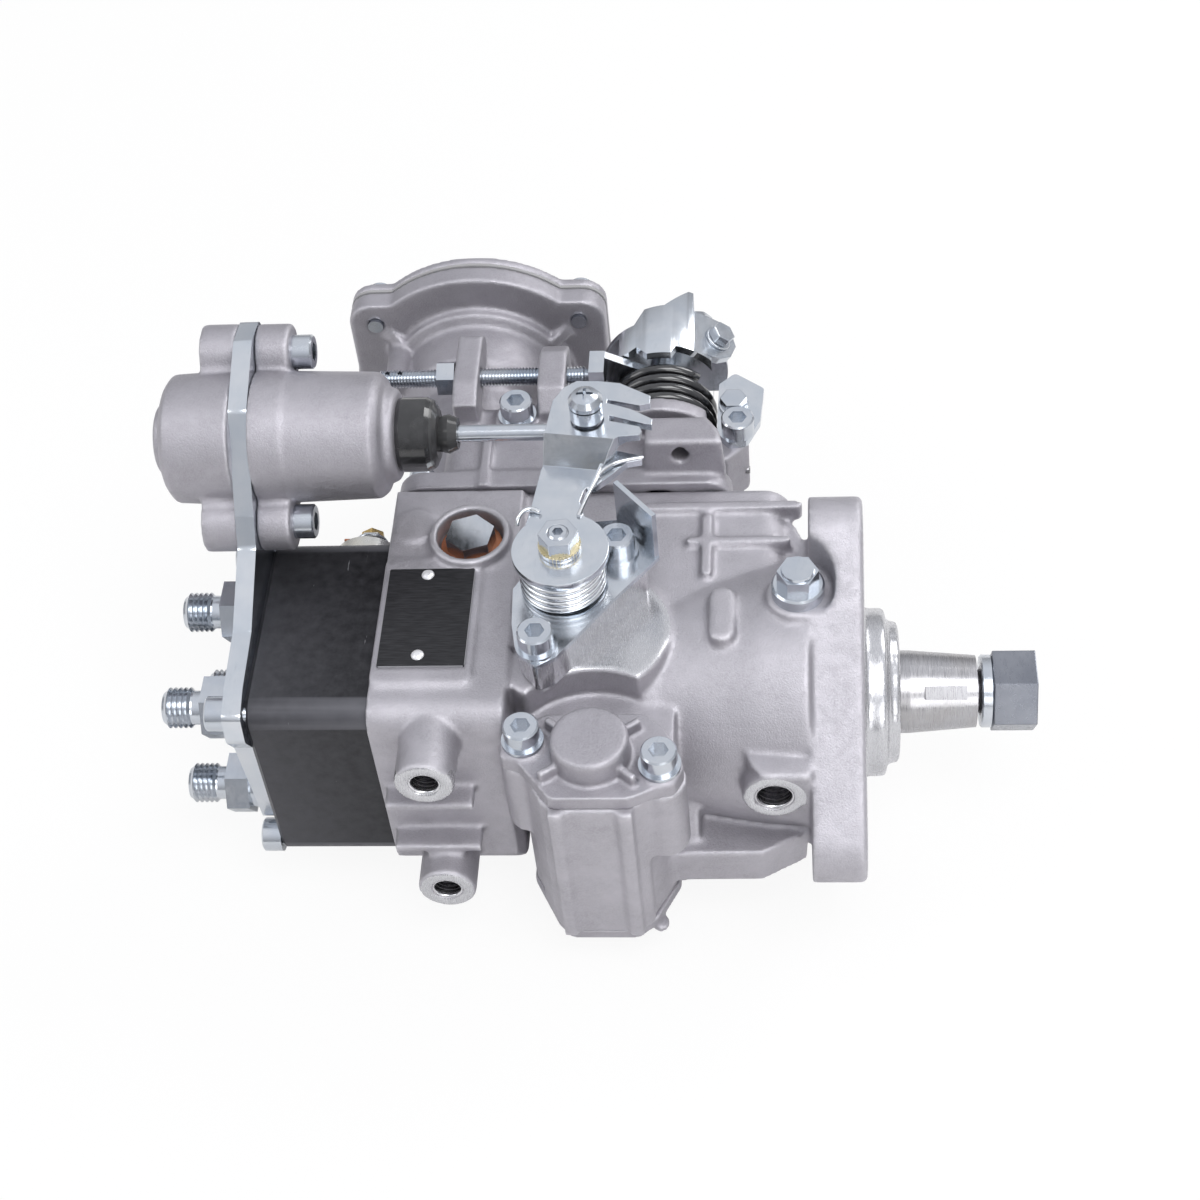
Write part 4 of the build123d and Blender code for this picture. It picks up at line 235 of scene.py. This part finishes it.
def black_oxide():
    """Blackened steel head: satin, slightly mottled, with a few bright scratches on its top."""
    paint = Paint("black_oxide_steel", 0.55, 0.42)
    mottle = paint.noise(260.0, 5.0, 0.65)
    lines = paint.noise(3000.0, 2.0, 0.6, paint.stretched((1.0, 0.08, 0.08)))
    colour = paint.blend(paint.range(mottle, 0.35, 0.7), (0.016, 0.016, 0.019), (0.038, 0.038, 0.043))
    scratch = paint.noise(520.0, 3.0, 0.7, paint.stretched((1.0, 0.12, 0.3), (0.0, 0.0, 0.25)))
    patches = paint.range(paint.noise(60.0, 1.0), 0.50, 0.62)
    spot = paint.sum("MULTIPLY", paint.range(scratch, 0.70, 0.76), patches)
    colour = paint.blend(spot, colour, (0.45, 0.45, 0.48))
    # lighter outer edges: partly rubbed-through blackening, partly a painted highlight
    colour = paint.blend(paint.sum("MULTIPLY", paint.edges(0.53, 0.62), 0.55), colour, (0.16, 0.16, 0.18))
    rough = paint.range(mottle, 0.3, 0.7, 0.34, 0.50)
    relief = paint.bump(lines, 0.00003, 0.5, paint.bump(mottle, 0.00008, 0.4))
    return paint.finish(colour, rough, relief)


def rubber(name, matt=0.55, gloss=0.22, split=None):
    """Black rubber or plastic; past the split (mm along X) it is matt instead of glossy."""
    paint = Paint(name, 0.0, matt, Coat_Weight=0.5, Coat_Roughness=0.08)
    cloud = paint.noise(300.0, 4.0, 0.6)
    colour = paint.blend(paint.range(cloud, 0.35, 0.7), (0.010, 0.010, 0.011), (0.026, 0.026, 0.028))
    rough = paint.range(cloud, 0.3, 0.7, gloss, gloss + 0.1)
    if split is not None:
        x, y, z = paint.axes()
        neck = paint.range(x, (split - 0.3) * MM, (split + 0.3) * MM)
        rough = paint.blend(neck, rough, paint.range(cloud, 0.3, 0.7, matt, matt + 0.12))
    return paint.finish(colour, rough, paint.bump(paint.noise(1500.0, 2.0), 0.00003, 0.4))


def black_enamel(name):
    paint = Paint(name, 0.0, 0.14, Coat_Weight=1.0, Coat_Roughness=0.04)
    ripple = paint.noise(420.0, 3.0)
    colour = paint.blend(paint.range(ripple, 0.35, 0.7), (0.006, 0.006, 0.007), (0.018, 0.018, 0.020))
    return paint.finish(colour, paint.range(ripple, 0.3, 0.7, 0.13, 0.24), paint.bump(ripple, 0.00006, 0.35))


plate_centre = (-125.9, -1.0)
plate_half = (12.6, 18.5)
rivet_low = 38.16


def anodised_plate():
    """Black anodised label plate: bare, with a thin bright edge and a grained face."""
    paint = Paint("black_anodised_plate", 0.35, 0.4)
    grain = paint.noise(2600.0, 2.0, 0.6, paint.stretched((0.08, 1.0, 1.0)))
    colour = paint.blend(paint.range(grain, 0.35, 0.7), (0.010, 0.010, 0.012), (0.030, 0.030, 0.034))
    x, y, z = paint.axes()
    rims = []
    for value, centre, half in zip((x, y), plate_centre, plate_half):
        away = paint.sum("ABSOLUTE", paint.sum("SUBTRACT", value, centre * MM))
        rims.append(paint.range(away, (half - 0.05) * MM, (half + 0.05) * MM))
    rim = paint.sum("MAXIMUM", *rims)
    head = paint.range(z, (rivet_low - 0.04) * MM, (rivet_low + 0.04) * MM)
    colour = paint.blend(rim, colour, (0.30, 0.30, 0.32))
    colour = paint.blend(head, colour, (0.74, 0.74, 0.77))
    rough = paint.blend(head, paint.range(grain, 0.3, 0.7, 0.34, 0.46), (0.3, 0.3, 0.3))
    return paint.finish(colour, rough, paint.bump(grain, 0.00002, 0.4))


housing_cuts = (
    (0, -0.25, 12.0, None, 0, ()),
    (2, 34.6, 35.4, (-77.5, -4.0, 0), 22.2, (0, 1)),
    (1, -53.4, -52.6, (-123.0, 0, 26.0), 8.3, (0, 2)),
    (1, -53.4, -52.6, (-123.0, 0, -26.0), 8.3, (0, 2)),
    (0, -132.0, -114.0, (0, -53.0, 26.0), 4.6, (1, 2)),
    (1, -44.6, -43.6, (-26.0, 0, 7.0), 9.0, (0, 2)),
    (2, 32.4, 33.8, (-115.7, 30.0, 0), 10.2, (0, 1)),
    (1, 51.6, 52.4, None, 0, ()),
)
cast = cast_metal("cast_aluminium", machined=housing_cuts)
# darker copies of the cast aluminium, without machined places: their lower tone is partly the castings' own
# and partly painted shade, for the governor cover under the actuator and for the actuator on the shaded side
cast_plain = cast_metal("cast_aluminium_plain", (0.36, 0.348, 0.378))
cast_actuator = cast_metal("cast_aluminium_darker", (0.37, 0.358, 0.388))
zinc = plated("bright_zinc", (0.50, 0.535, 0.585), (0.58, 0.60, 0.63), 0.16, 0.26, 0.25)
zinc_plate = plated("bright_zinc_sheet", (0.54, 0.575, 0.62), (0.62, 0.64, 0.67), 0.16, 0.26, 0.2)
polished_wire = plated("zinc_wire", (0.66, 0.69, 0.72), (0.76, 0.76, 0.77), 0.10, 0.20)
steel = turned_steel("ground_steel", (0.44, 0.435, 0.45), 0.22, 0.36)
nut_metal = plated("dull_zinc", (0.20, 0.21, 0.24), (0.26, 0.27, 0.30), 0.24, 0.36, 0.3)
hard_steel = turned_steel("hardened_steel", (0.42, 0.41, 0.40), 0.20, 0.38)
spring_steel = plated("spring_steel", (0.26, 0.26, 0.28), (0.34, 0.33, 0.32), 0.22, 0.36)
block_metal = turned_steel("milled_aluminium", (0.70, 0.70, 0.72), 0.16, 0.30, 1)
solenoid_metal = plated("solenoid_zinc", (0.56, 0.56, 0.55), (0.66, 0.63, 0.55), 0.22, 0.36)
bronze = turned_steel("sintered_bronze", (0.62, 0.42, 0.22), 0.30, 0.45)
copper = plated("copper", (0.40, 0.15, 0.08), (0.48, 0.21, 0.12), 0.30, 0.44)
brass = plated("brass", (0.72, 0.56, 0.26), (0.66, 0.46, 0.18), 0.20, 0.34)
yellow_zinc = plated("yellow_chromate", (0.66, 0.55, 0.28), (0.56, 0.50, 0.36), 0.24, 0.40)
black_head = black_oxide()
boot_rubber = rubber("boot_rubber", gloss=0.12, split=-124.5)
soft_rubber = rubber("seal_rubber", 0.6, 0.45)
enamel = black_enamel("black_enamel")
seam = Paint("diaphragm_rim", 0.0, 0.6).finish((0.33, 0.33, 0.34))
plate_black = anodised_plate()

finishes = {
    "pump_housing": cast, "governor_cover": cast_plain, "actuator_rear": cast_actuator,
    "actuator_front": cast_actuator, "timing_cover": cast_plain, "timing_lower_cover": cast_plain,
    "boost_housing": cast_plain, "boost_cover": cast_plain,
    "distributor_head": black_head, "name_plate": plate_black, "throttle_spring": enamel,
    "actuator_boot": boot_rubber, "shaft_seal": soft_rubber, "diaphragm": seam,
    "cold_start_block": block_metal, "shutoff_solenoid": solenoid_metal, "shaft_bush": bronze,
    "plug_washers": copper, "shaft_nut": nut_metal, "drive_shaft": steel, "shaft_key": steel,
    "lever_spring": polished_wire,
    "timing_spring": spring_steel, "plunger_springs": spring_steel, "governor_spring": spring_steel,
    "actuator_bracket": zinc_plate, "stop_plate": zinc_plate, "stop_bracket": zinc_plate,
    "cold_start_lever": zinc_plate, "throttle_lever": zinc_plate,
}
slots = {entry["node"]: entry["material_slot"] for entry in frame["record"]["subparts"]}
for name, piece in nodes.items():
    finish = finishes.get(name) or (zinc if slots[name] == "zinc" else hard_steel)
    piece.data.materials.clear()
    piece.data.materials.append(finish)


# ---------------------------------------------------------------- edges of the CAD pieces
def modifier(piece, kind, **settings):
    made = piece.modifiers.new(kind.lower(), kind)
    for key, value in settings.items():
        setattr(made, key, value)
    return made


def soften_casting(name, voxel):
    """Rounds every inner and outer edge of a casting, as its sand mould does."""
    piece = nodes[name]
    modifier(piece, "REMESH", mode="VOXEL", voxel_size=voxel * MM, use_smooth_shade=True)
    modifier(piece, "SMOOTH", factor=0.5, iterations=5)
    modifier(piece, "DECIMATE", ratio=0.5, decimate_type="COLLAPSE")


def soften_edges(name, width):
    """Breaks the sharp edges of a machined or pressed piece."""
    piece = nodes[name]
    modifier(piece, "WELD", merge_threshold=0.000002)
    modifier(piece, "BEVEL", width=width * MM, segments=2, limit_method="ANGLE", angle_limit=0.6,
             use_clamp_overlap=True, harden_normals=False)


castings = {"pump_housing": 0.9, "governor_cover": 0.8, "actuator_rear": 0.7, "actuator_front": 0.7,
            "timing_cover": 0.6, "timing_lower_cover": 0.6, "boost_housing": 0.8, "boost_cover": 0.8}
for name, voxel in castings.items():
    soften_casting(name, voxel)


edge_widths = {"cold_start_lever": 0.25, "throttle_lever": 0.2, "stop_bracket": 0.2, "stop_plate": 0.2,
               "actuator_bracket": 0.2, "shaft_nut": 0.25, "lever_nut": 0.2}
for name, width in edge_widths.items():
    soften_edges(name, width)


# ---------------------------------------------------------------- makers of small pieces
def solid(name, mesh, finish, body, bevel=0.0, smooth=True):
    piece = bpy.data.objects.new(name, mesh)
    bpy.context.scene.collection.objects.link(piece)
    mesh.materials.append(finish)
    for polygon in mesh.polygons:
        polygon.use_smooth = smooth
    if bevel:
        modifier(piece, "BEVEL", width=bevel * MM, segments=2, limit_method="ANGLE", angle_limit=0.6)
    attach(piece, body)
    return piece


def basis(axis):
    """Two unit vectors square to an axis."""
    along = Vector(axis).normalized()
    first = along.orthogonal() if abs(along.y) > 0.9 else along.cross(Vector((0, 1, 0)))
    first.normalize()
    return along, first, along.cross(first)


def mesh_from(made, name):
    """Mesh of a bmesh, its normals turned outwards."""
    bmesh.ops.recalc_face_normals(made, faces=made.faces)
    mesh = bpy.data.meshes.new(name)
    made.to_mesh(mesh)
    made.free()
    return mesh


def lathe(name, profile, origin, axis, finish, body, count=64):
    """Turned piece from a closed profile of (distance along the axis, radius), in mm."""
    along, first, second = basis(axis)
    made = bmesh.new()
    rings = []
    for step in range(count):
        angle = 2 * pi * step / count
        out = first * cos(angle) + second * sin(angle)
        rings.append([made.verts.new((Vector(origin) + along * far + out * radius) * MM)
                      for far, radius in profile])
    for step in range(count):
        here, there = rings[step], rings[(step + 1) % count]
        for k in range(len(profile)):
            n = (k + 1) % len(profile)
            made.faces.new((here[k], here[n], there[n], there[k]))
    bmesh.ops.remove_doubles(made, verts=made.verts, dist=1e-7)
    return solid(name, mesh_from(made, name), finish, body)


def prism(name, outline, origin, axis, up, height, finish, body, bevel):
    """Plate or hexagon: a closed outline (mm) in the plane square to the axis, raised along it."""
    along = Vector(axis).normalized()
    across = Vector(up).normalized()
    first = across.cross(along).normalized()
    made = bmesh.new()
    layers = []
    for far in (0.0, height):
        layers.append([made.verts.new((Vector(origin) + along * far + first * a + across * b) * MM)
                       for a, b in outline])
    count = len(outline)
    for k in range(count):
        n = (k + 1) % count
        made.faces.new((layers[0][k], layers[0][n], layers[1][n], layers[1][k]))
    made.faces.new(layers[0])
    made.faces.new(layers[1])
    return solid(name, mesh_from(made, name), finish, body, bevel, smooth=False)


def hexagon(flats):
    corner = flats / 3 ** 0.5
    return [(corner * cos(pi / 3 * k), corner * sin(pi / 3 * k)) for k in range(6)]


def round_wire(name, points, radius, finish, body):
    """Wire bent through points (mm), drawn as a tube round a smooth spline."""
    curve = bpy.data.curves.new(name, "CURVE")
    curve.dimensions = "3D"
    spline = curve.splines.new("NURBS")
    spline.points.add(len(points) - 1)
    for point, place in zip(spline.points, points):
        point.co = (*(c * MM for c in place), 1.0)
    spline.order_u = 3
    spline.use_endpoint_u = True
    curve.resolution_u = 8
    curve.bevel_depth = radius * MM
    curve.bevel_resolution = 4
    curve.use_fill_caps = True
    holder = bpy.data.objects.new(name + "_line", curve)
    bpy.context.scene.collection.objects.link(holder)
    bpy.context.view_layer.update()
    mesh = bpy.data.meshes.new_from_object(holder.evaluated_get(bpy.context.evaluated_depsgraph_get()))
    bpy.data.objects.remove(holder)
    return solid(name, mesh, finish, body)


def thread(name, start, axis, length, outer, depth, pitch, finish, body):
    """Thread ridges lining a tapped hole, drawn as rings."""
    profile = [(0.0, outer + 0.3)]
    count = int(length / pitch)
    for k in range(count):
        profile.append((k * pitch, outer))
        profile.append(((k + 0.5) * pitch, outer - depth))
    profile += [(count * pitch, outer), (count * pitch, outer + 0.3)]
    return lathe(name, profile, start, axis, finish, body, 48)


def springs(name, starts, axis, radius, wire, height, turns, finish, stands_for):
    """Smooth helical springs, one at each start (mm), that stand for a CAD node."""
    along, first, second = basis(axis)
    made = bmesh.new()
    steps, sides = 32 * turns, 14
    for start in starts:
        rings = []
        for step in range(steps + 1):
            angle = 2 * pi * turns * step / steps
            out = first * cos(angle) + second * sin(angle)
            middle = Vector(start) + along * (height * step / steps) + out * radius
            rings.append([made.verts.new((middle + (out * cos(2 * pi * k / sides)
                                                    + along * sin(2 * pi * k / sides)) * (wire / 2)) * MM)
                          for k in range(sides)])
        for here, there in zip(rings, rings[1:]):
            for k in range(sides):
                n = (k + 1) % sides
                made.faces.new((here[k], here[n], there[n], there[k]))
        made.faces.new(rings[0])
        made.faces.new(rings[-1])
    piece = solid(name, mesh_from(made, name), finish, "housing")
    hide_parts(stands_for)
    return piece


# ---------------------------------------------------------------- springs
ALONG_X, ALONG_Y, ALONG_Z = (1, 0, 0), (0, 1, 0), (0, 0, 1)
throttle_x, throttle_z = -60.5, 26.0
lever_x, lever_y = -85.2, 3.0
lever_top = 62.0
springs("throttle_coil", [(throttle_x, 81.05, throttle_z)], ALONG_Y, 15.6, 3.4, 16.8, 4,
        enamel, "throttle_spring")
springs("lever_coil", [(lever_x, lever_y, 48.2)], ALONG_Z, 11.4, 2.2, 9.95, 4, polished_wire, "lever_spring")
springs("timing_coil", [(-76.5, -45.0, -35.1)], ALONG_Z, 6.2, 1.6, 15.0, 5, spring_steel, "timing_spring")
springs("plunger_coils", [(-129.6, 0.0, z) for z in (17.0, -17.0)], ALONG_X, 4.4, 1.6, 31.2, 6,
        spring_steel, "plunger_springs")
lathe("spring_guide", ((79.2, 9.7), (79.2, 13.2), (97.0, 13.2), (97.6, 12.6), (97.6, 9.7)),
      (throttle_x, 0.0, throttle_z), ALONG_Y, enamel, "housing")

# ---------------------------------------------------------------- trim
ear_normal = Vector((0.602, 0.0, 0.799))
ear = Vector((-43.3, 114.0, 38.5))

# yellow-chromated knurled ring round the foot of the lever nut
teeth = 36
ring_radii = (5.75, 6.15)
knurl = [(ring_radii[k % 2] * cos(pi * k / teeth), ring_radii[k % 2] * sin(pi * k / teeth))
         for k in range(2 * teeth)]
prism("lever_washer", knurl, (lever_x, lever_y, lever_top + 0.03), ALONG_Z, ALONG_Y, 2.2, yellow_zinc,
      "cold_lever", 0.1)



def washer(name, low, high, inner, outer, origin, axis, body, chamfer=(0.1, 0.2)):
    """Plain washer between two heights on the axis, its upper rim chamfered by (height, width)."""
    drop, step = chamfer
    profile = ((low, inner), (low, outer), (high - drop, outer), (high, outer - step), (high, inner))
    return lathe(name, profile, origin, axis, zinc, body)


# clamp screw of the throttle lever's ear, with its washer
washer("ear_washer", 0.02, 1.0, 2.4, 4.4, ear, ear_normal, "throttle")
prism("ear_screw_head", hexagon(7.0), ear + ear_normal * 1.0, ear_normal, ALONG_Y, 3.4, zinc, "throttle", 0.3)
lathe("ear_screw_shank", ((-5.5, 0.0), (-5.5, 2.0), (-5.0, 2.4), (1.2, 2.4), (1.2, 0.0)), ear, ear_normal,
      zinc, "throttle")

# sealed bolt on the stop bracket and the roll pin beside it
bolt_x, bolt_y = -37.9, 88.2
prism("seal_bolt", hexagon(7.5), (bolt_x, bolt_y, 34.03), ALONG_Z, ALONG_Y, 3.6, zinc, "housing", 0.3)
washer("seal_bolt_washer", 33.9, 34.7, 1.0, 4.7, (bolt_x, bolt_y, 0.0), ALONG_Z, "housing")
lathe("roll_pin", ((0.0, 0.7), (0.0, 1.25), (5.6, 1.25), (6.0, 1.1), (6.0, 0.7)), (-39.0, 73.7, 20.0), ALONG_X,
      spring_steel, "housing", 24)

# terminal of the shut-off solenoid: pale washer, copper tab and brass nut
terminal_x = -155.0
washer("terminal_washer", 61.9, 63.0, 2.2, 5.4, (terminal_x, 0.0, 0.0), ALONG_Y, "housing", (0.2, 0.2))
prism("terminal_nut", hexagon(7.0), (terminal_x, 63.8, 0.0), ALONG_Y, ALONG_X, 2.6, brass, "housing", 0.25)
tab = ((-3.4, -3.4), (3.4, -3.4), (3.4, 3.4), (1.6, 3.4), (1.6, 9.0), (-1.6, 9.0), (-1.6, 3.4), (-3.4, 3.4))
prism("terminal_tab", tab, (terminal_x, 63.0, 0.0), ALONG_Y, (-1, 0, 0), 0.8, copper, "housing", 0.1)

# spring-end hook on the cold-start lever's disc and the two bent wires on its arm
hook_line = ((-98.2, 13.6, 60.4), (-98.0, 14.6, 62.4), (-96.2, 17.0, 63.2), (-93.6, 17.6, 63.2),
             (-91.6, 16.2, 62.9))
long_line = ((-80.6, 15.0, 62.4), (-79.2, 19.5, 63.0), (-77.7, 23.8, 63.3), (-75.9, 29.3, 63.4),
             (-73.7, 38.6, 63.6), (-70.5, 44.6, 63.4), (-64.2, 47.8, 63.0))
short_line = ((-75.4, 31.0, 62.9), (-74.3, 32.5, 63.3), (-70.1, 36.0, 63.2), (-62.9, 37.5, 63.0))
round_wire("lever_hook", hook_line, 0.7, polished_wire, "cold_lever")
round_wire("lever_wire_long", long_line, 0.6, polished_wire, "cold_lever")
round_wire("lever_wire_short", short_line, 0.6, polished_wire, "cold_lever")

# threads that line the tapped holes
for side, z in (("upper", 26.0), ("lower", -26.0)):
    thread(f"support_thread_{side}", (-123.0, -52.4, z), ALONG_Y, 12.0, 4.24, 0.55, 1.25, block_metal,
           "housing")
thread("return_thread", (-26.0, -43.4, 7.0), ALONG_Y, 12.0, 5.29, 0.6, 1.5, block_metal, "housing")

bpy.context.view_layer.update()

# ---------------------------------------------------------------- stage, light, camera
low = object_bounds()[0]
WHITE = (1.0, 1.0, 1.0, 1.0)
floor_reach = 6.0
floor_gap = 0.0002
floor_z = min(low[2], cad_box[0][2]) - floor_gap


def add_node(tree, kind, **inputs):
    """Shader node with its named inputs set; an underscore stands for a space."""
    node = tree.nodes.new(kind)
    for socket, value in inputs.items():
        node.inputs[socket.replace("_", " ")].default_value = value
    return node


def mix_shaders(tree, share, first, second):
    mixer = tree.nodes.new("ShaderNodeMixShader")
    tree.links.new(share, mixer.inputs[0])
    tree.links.new(first.outputs[0], mixer.inputs[1])
    tree.links.new(second.outputs[0], mixer.inputs[2])
    return mixer


def math_node(tree, operation, first):
    node = tree.nodes.new("ShaderNodeMath")
    node.operation = operation
    tree.links.new(first, node.inputs[0])
    return node


# floor: pale and diffuse to the lamps, almost white to the camera
floor_mesh = bpy.data.meshes.new("floor")
corners = ((-1, -1), (1, -1), (1, 1), (-1, 1))
floor_mesh.from_pydata([(x * floor_reach, y * floor_reach, floor_z) for x, y in corners], [], [(0, 1, 2, 3)])
floor = bpy.data.objects.new("floor", floor_mesh)
bpy.context.scene.collection.objects.link(floor)
floor_paint = bpy.data.materials.new("floor_white")
floor_paint.use_nodes = True
tree = floor_paint.node_tree
tree.nodes.clear()
diffuse = add_node(tree, "ShaderNodeBsdfDiffuse", Color=(0.86, 0.86, 0.87, 1.0))
glow = add_node(tree, "ShaderNodeEmission", Color=WHITE, Strength=1.0)
path = add_node(tree, "ShaderNodeLightPath")
seen = math_node(tree, "MULTIPLY", path.outputs["Is Camera Ray"])
seen.inputs[1].default_value = 0.90
output = add_node(tree, "ShaderNodeOutputMaterial")
tree.links.new(mix_shaders(tree, seen.outputs[0], diffuse, glow).outputs[0], output.inputs["Surface"])
floor_mesh.materials.append(floor_paint)

# world: white to the camera, a soft fill, and a room that grows brighter upwards in reflections
world = bpy.data.worlds.new("studio")
bpy.context.scene.world = world
world.use_nodes = True
tree = world.node_tree
tree.nodes.clear()
path = add_node(tree, "ShaderNodeLightPath")
split = add_node(tree, "ShaderNodeSeparateXYZ")
tree.links.new(add_node(tree, "ShaderNodeTexCoord").outputs["Generated"], split.inputs[0])
rise = add_node(tree, "ShaderNodeMapRange", From_Min=-0.1, From_Max=0.75, To_Min=0.30, To_Max=1.0)
tree.links.new(split.outputs["Z"], rise.inputs["Value"])
room = add_node(tree, "ShaderNodeBackground", Color=(0.93, 0.95, 1.0, 1.0))
tree.links.new(rise.outputs["Result"], room.inputs["Strength"])
white = add_node(tree, "ShaderNodeBackground", Color=WHITE, Strength=1.0)
fill = add_node(tree, "ShaderNodeBackground", Color=WHITE, Strength=0.55)
lit = mix_shaders(tree, path.outputs["Is Glossy Ray"], fill, room)
clear = math_node(tree, "MAXIMUM", path.outputs["Is Camera Ray"])
tree.links.new(path.outputs["Is Transmission Ray"], clear.inputs[1])
output = add_node(tree, "ShaderNodeOutputWorld")
tree.links.new(mix_shaders(tree, clear.outputs[0], lit, white).outputs[0], output.inputs["Surface"])

target = Vector((-85.0, 30.0, 10.0)) * MM


def lamp(name, place, size, power):
    light = bpy.data.lights.new(name, "AREA")
    light.shape = "SQUARE"
    light.size = size
    light.energy = power
    holder = bpy.data.objects.new(name, light)
    bpy.context.scene.collection.objects.link(holder)
    holder.location = place
    holder.rotation_euler = (target - Vector(place)).to_track_quat("-Z", "Y").to_euler()


lamp("key", (0.35, -0.55, 1.45), 0.9, 12.0)
lamp("left", (-1.2, -0.3, 0.9), 0.8, 4.0)
lamp("rim", (0.9, 0.9, 1.0), 0.7, 8.0)
lamp("front", (0.5, -1.3, 0.5), 0.7, 5.0)

camera_data = bpy.data.cameras.new("camera")
camera_data.lens = 66.0
camera_data.sensor_width = 36.0
camera_data.clip_start = 0.01
camera_data.clip_end = 50.0
camera = bpy.data.objects.new("camera", camera_data)
bpy.context.scene.collection.objects.link(camera)
camera.matrix_world = Matrix(((0.99613, 0.01230, 0.08700, -0.02038),
                              (0.04786, 0.75445, -0.65461, -0.41184),
                              (-0.07369, 0.65624, 0.75094, 0.51559),
                              (0.0, 0.0, 0.0, 1.0)))
bpy.context.scene.camera = camera
bpy.context.scene.view_settings.view_transform = "Standard"

bpy.context.view_layer.update()
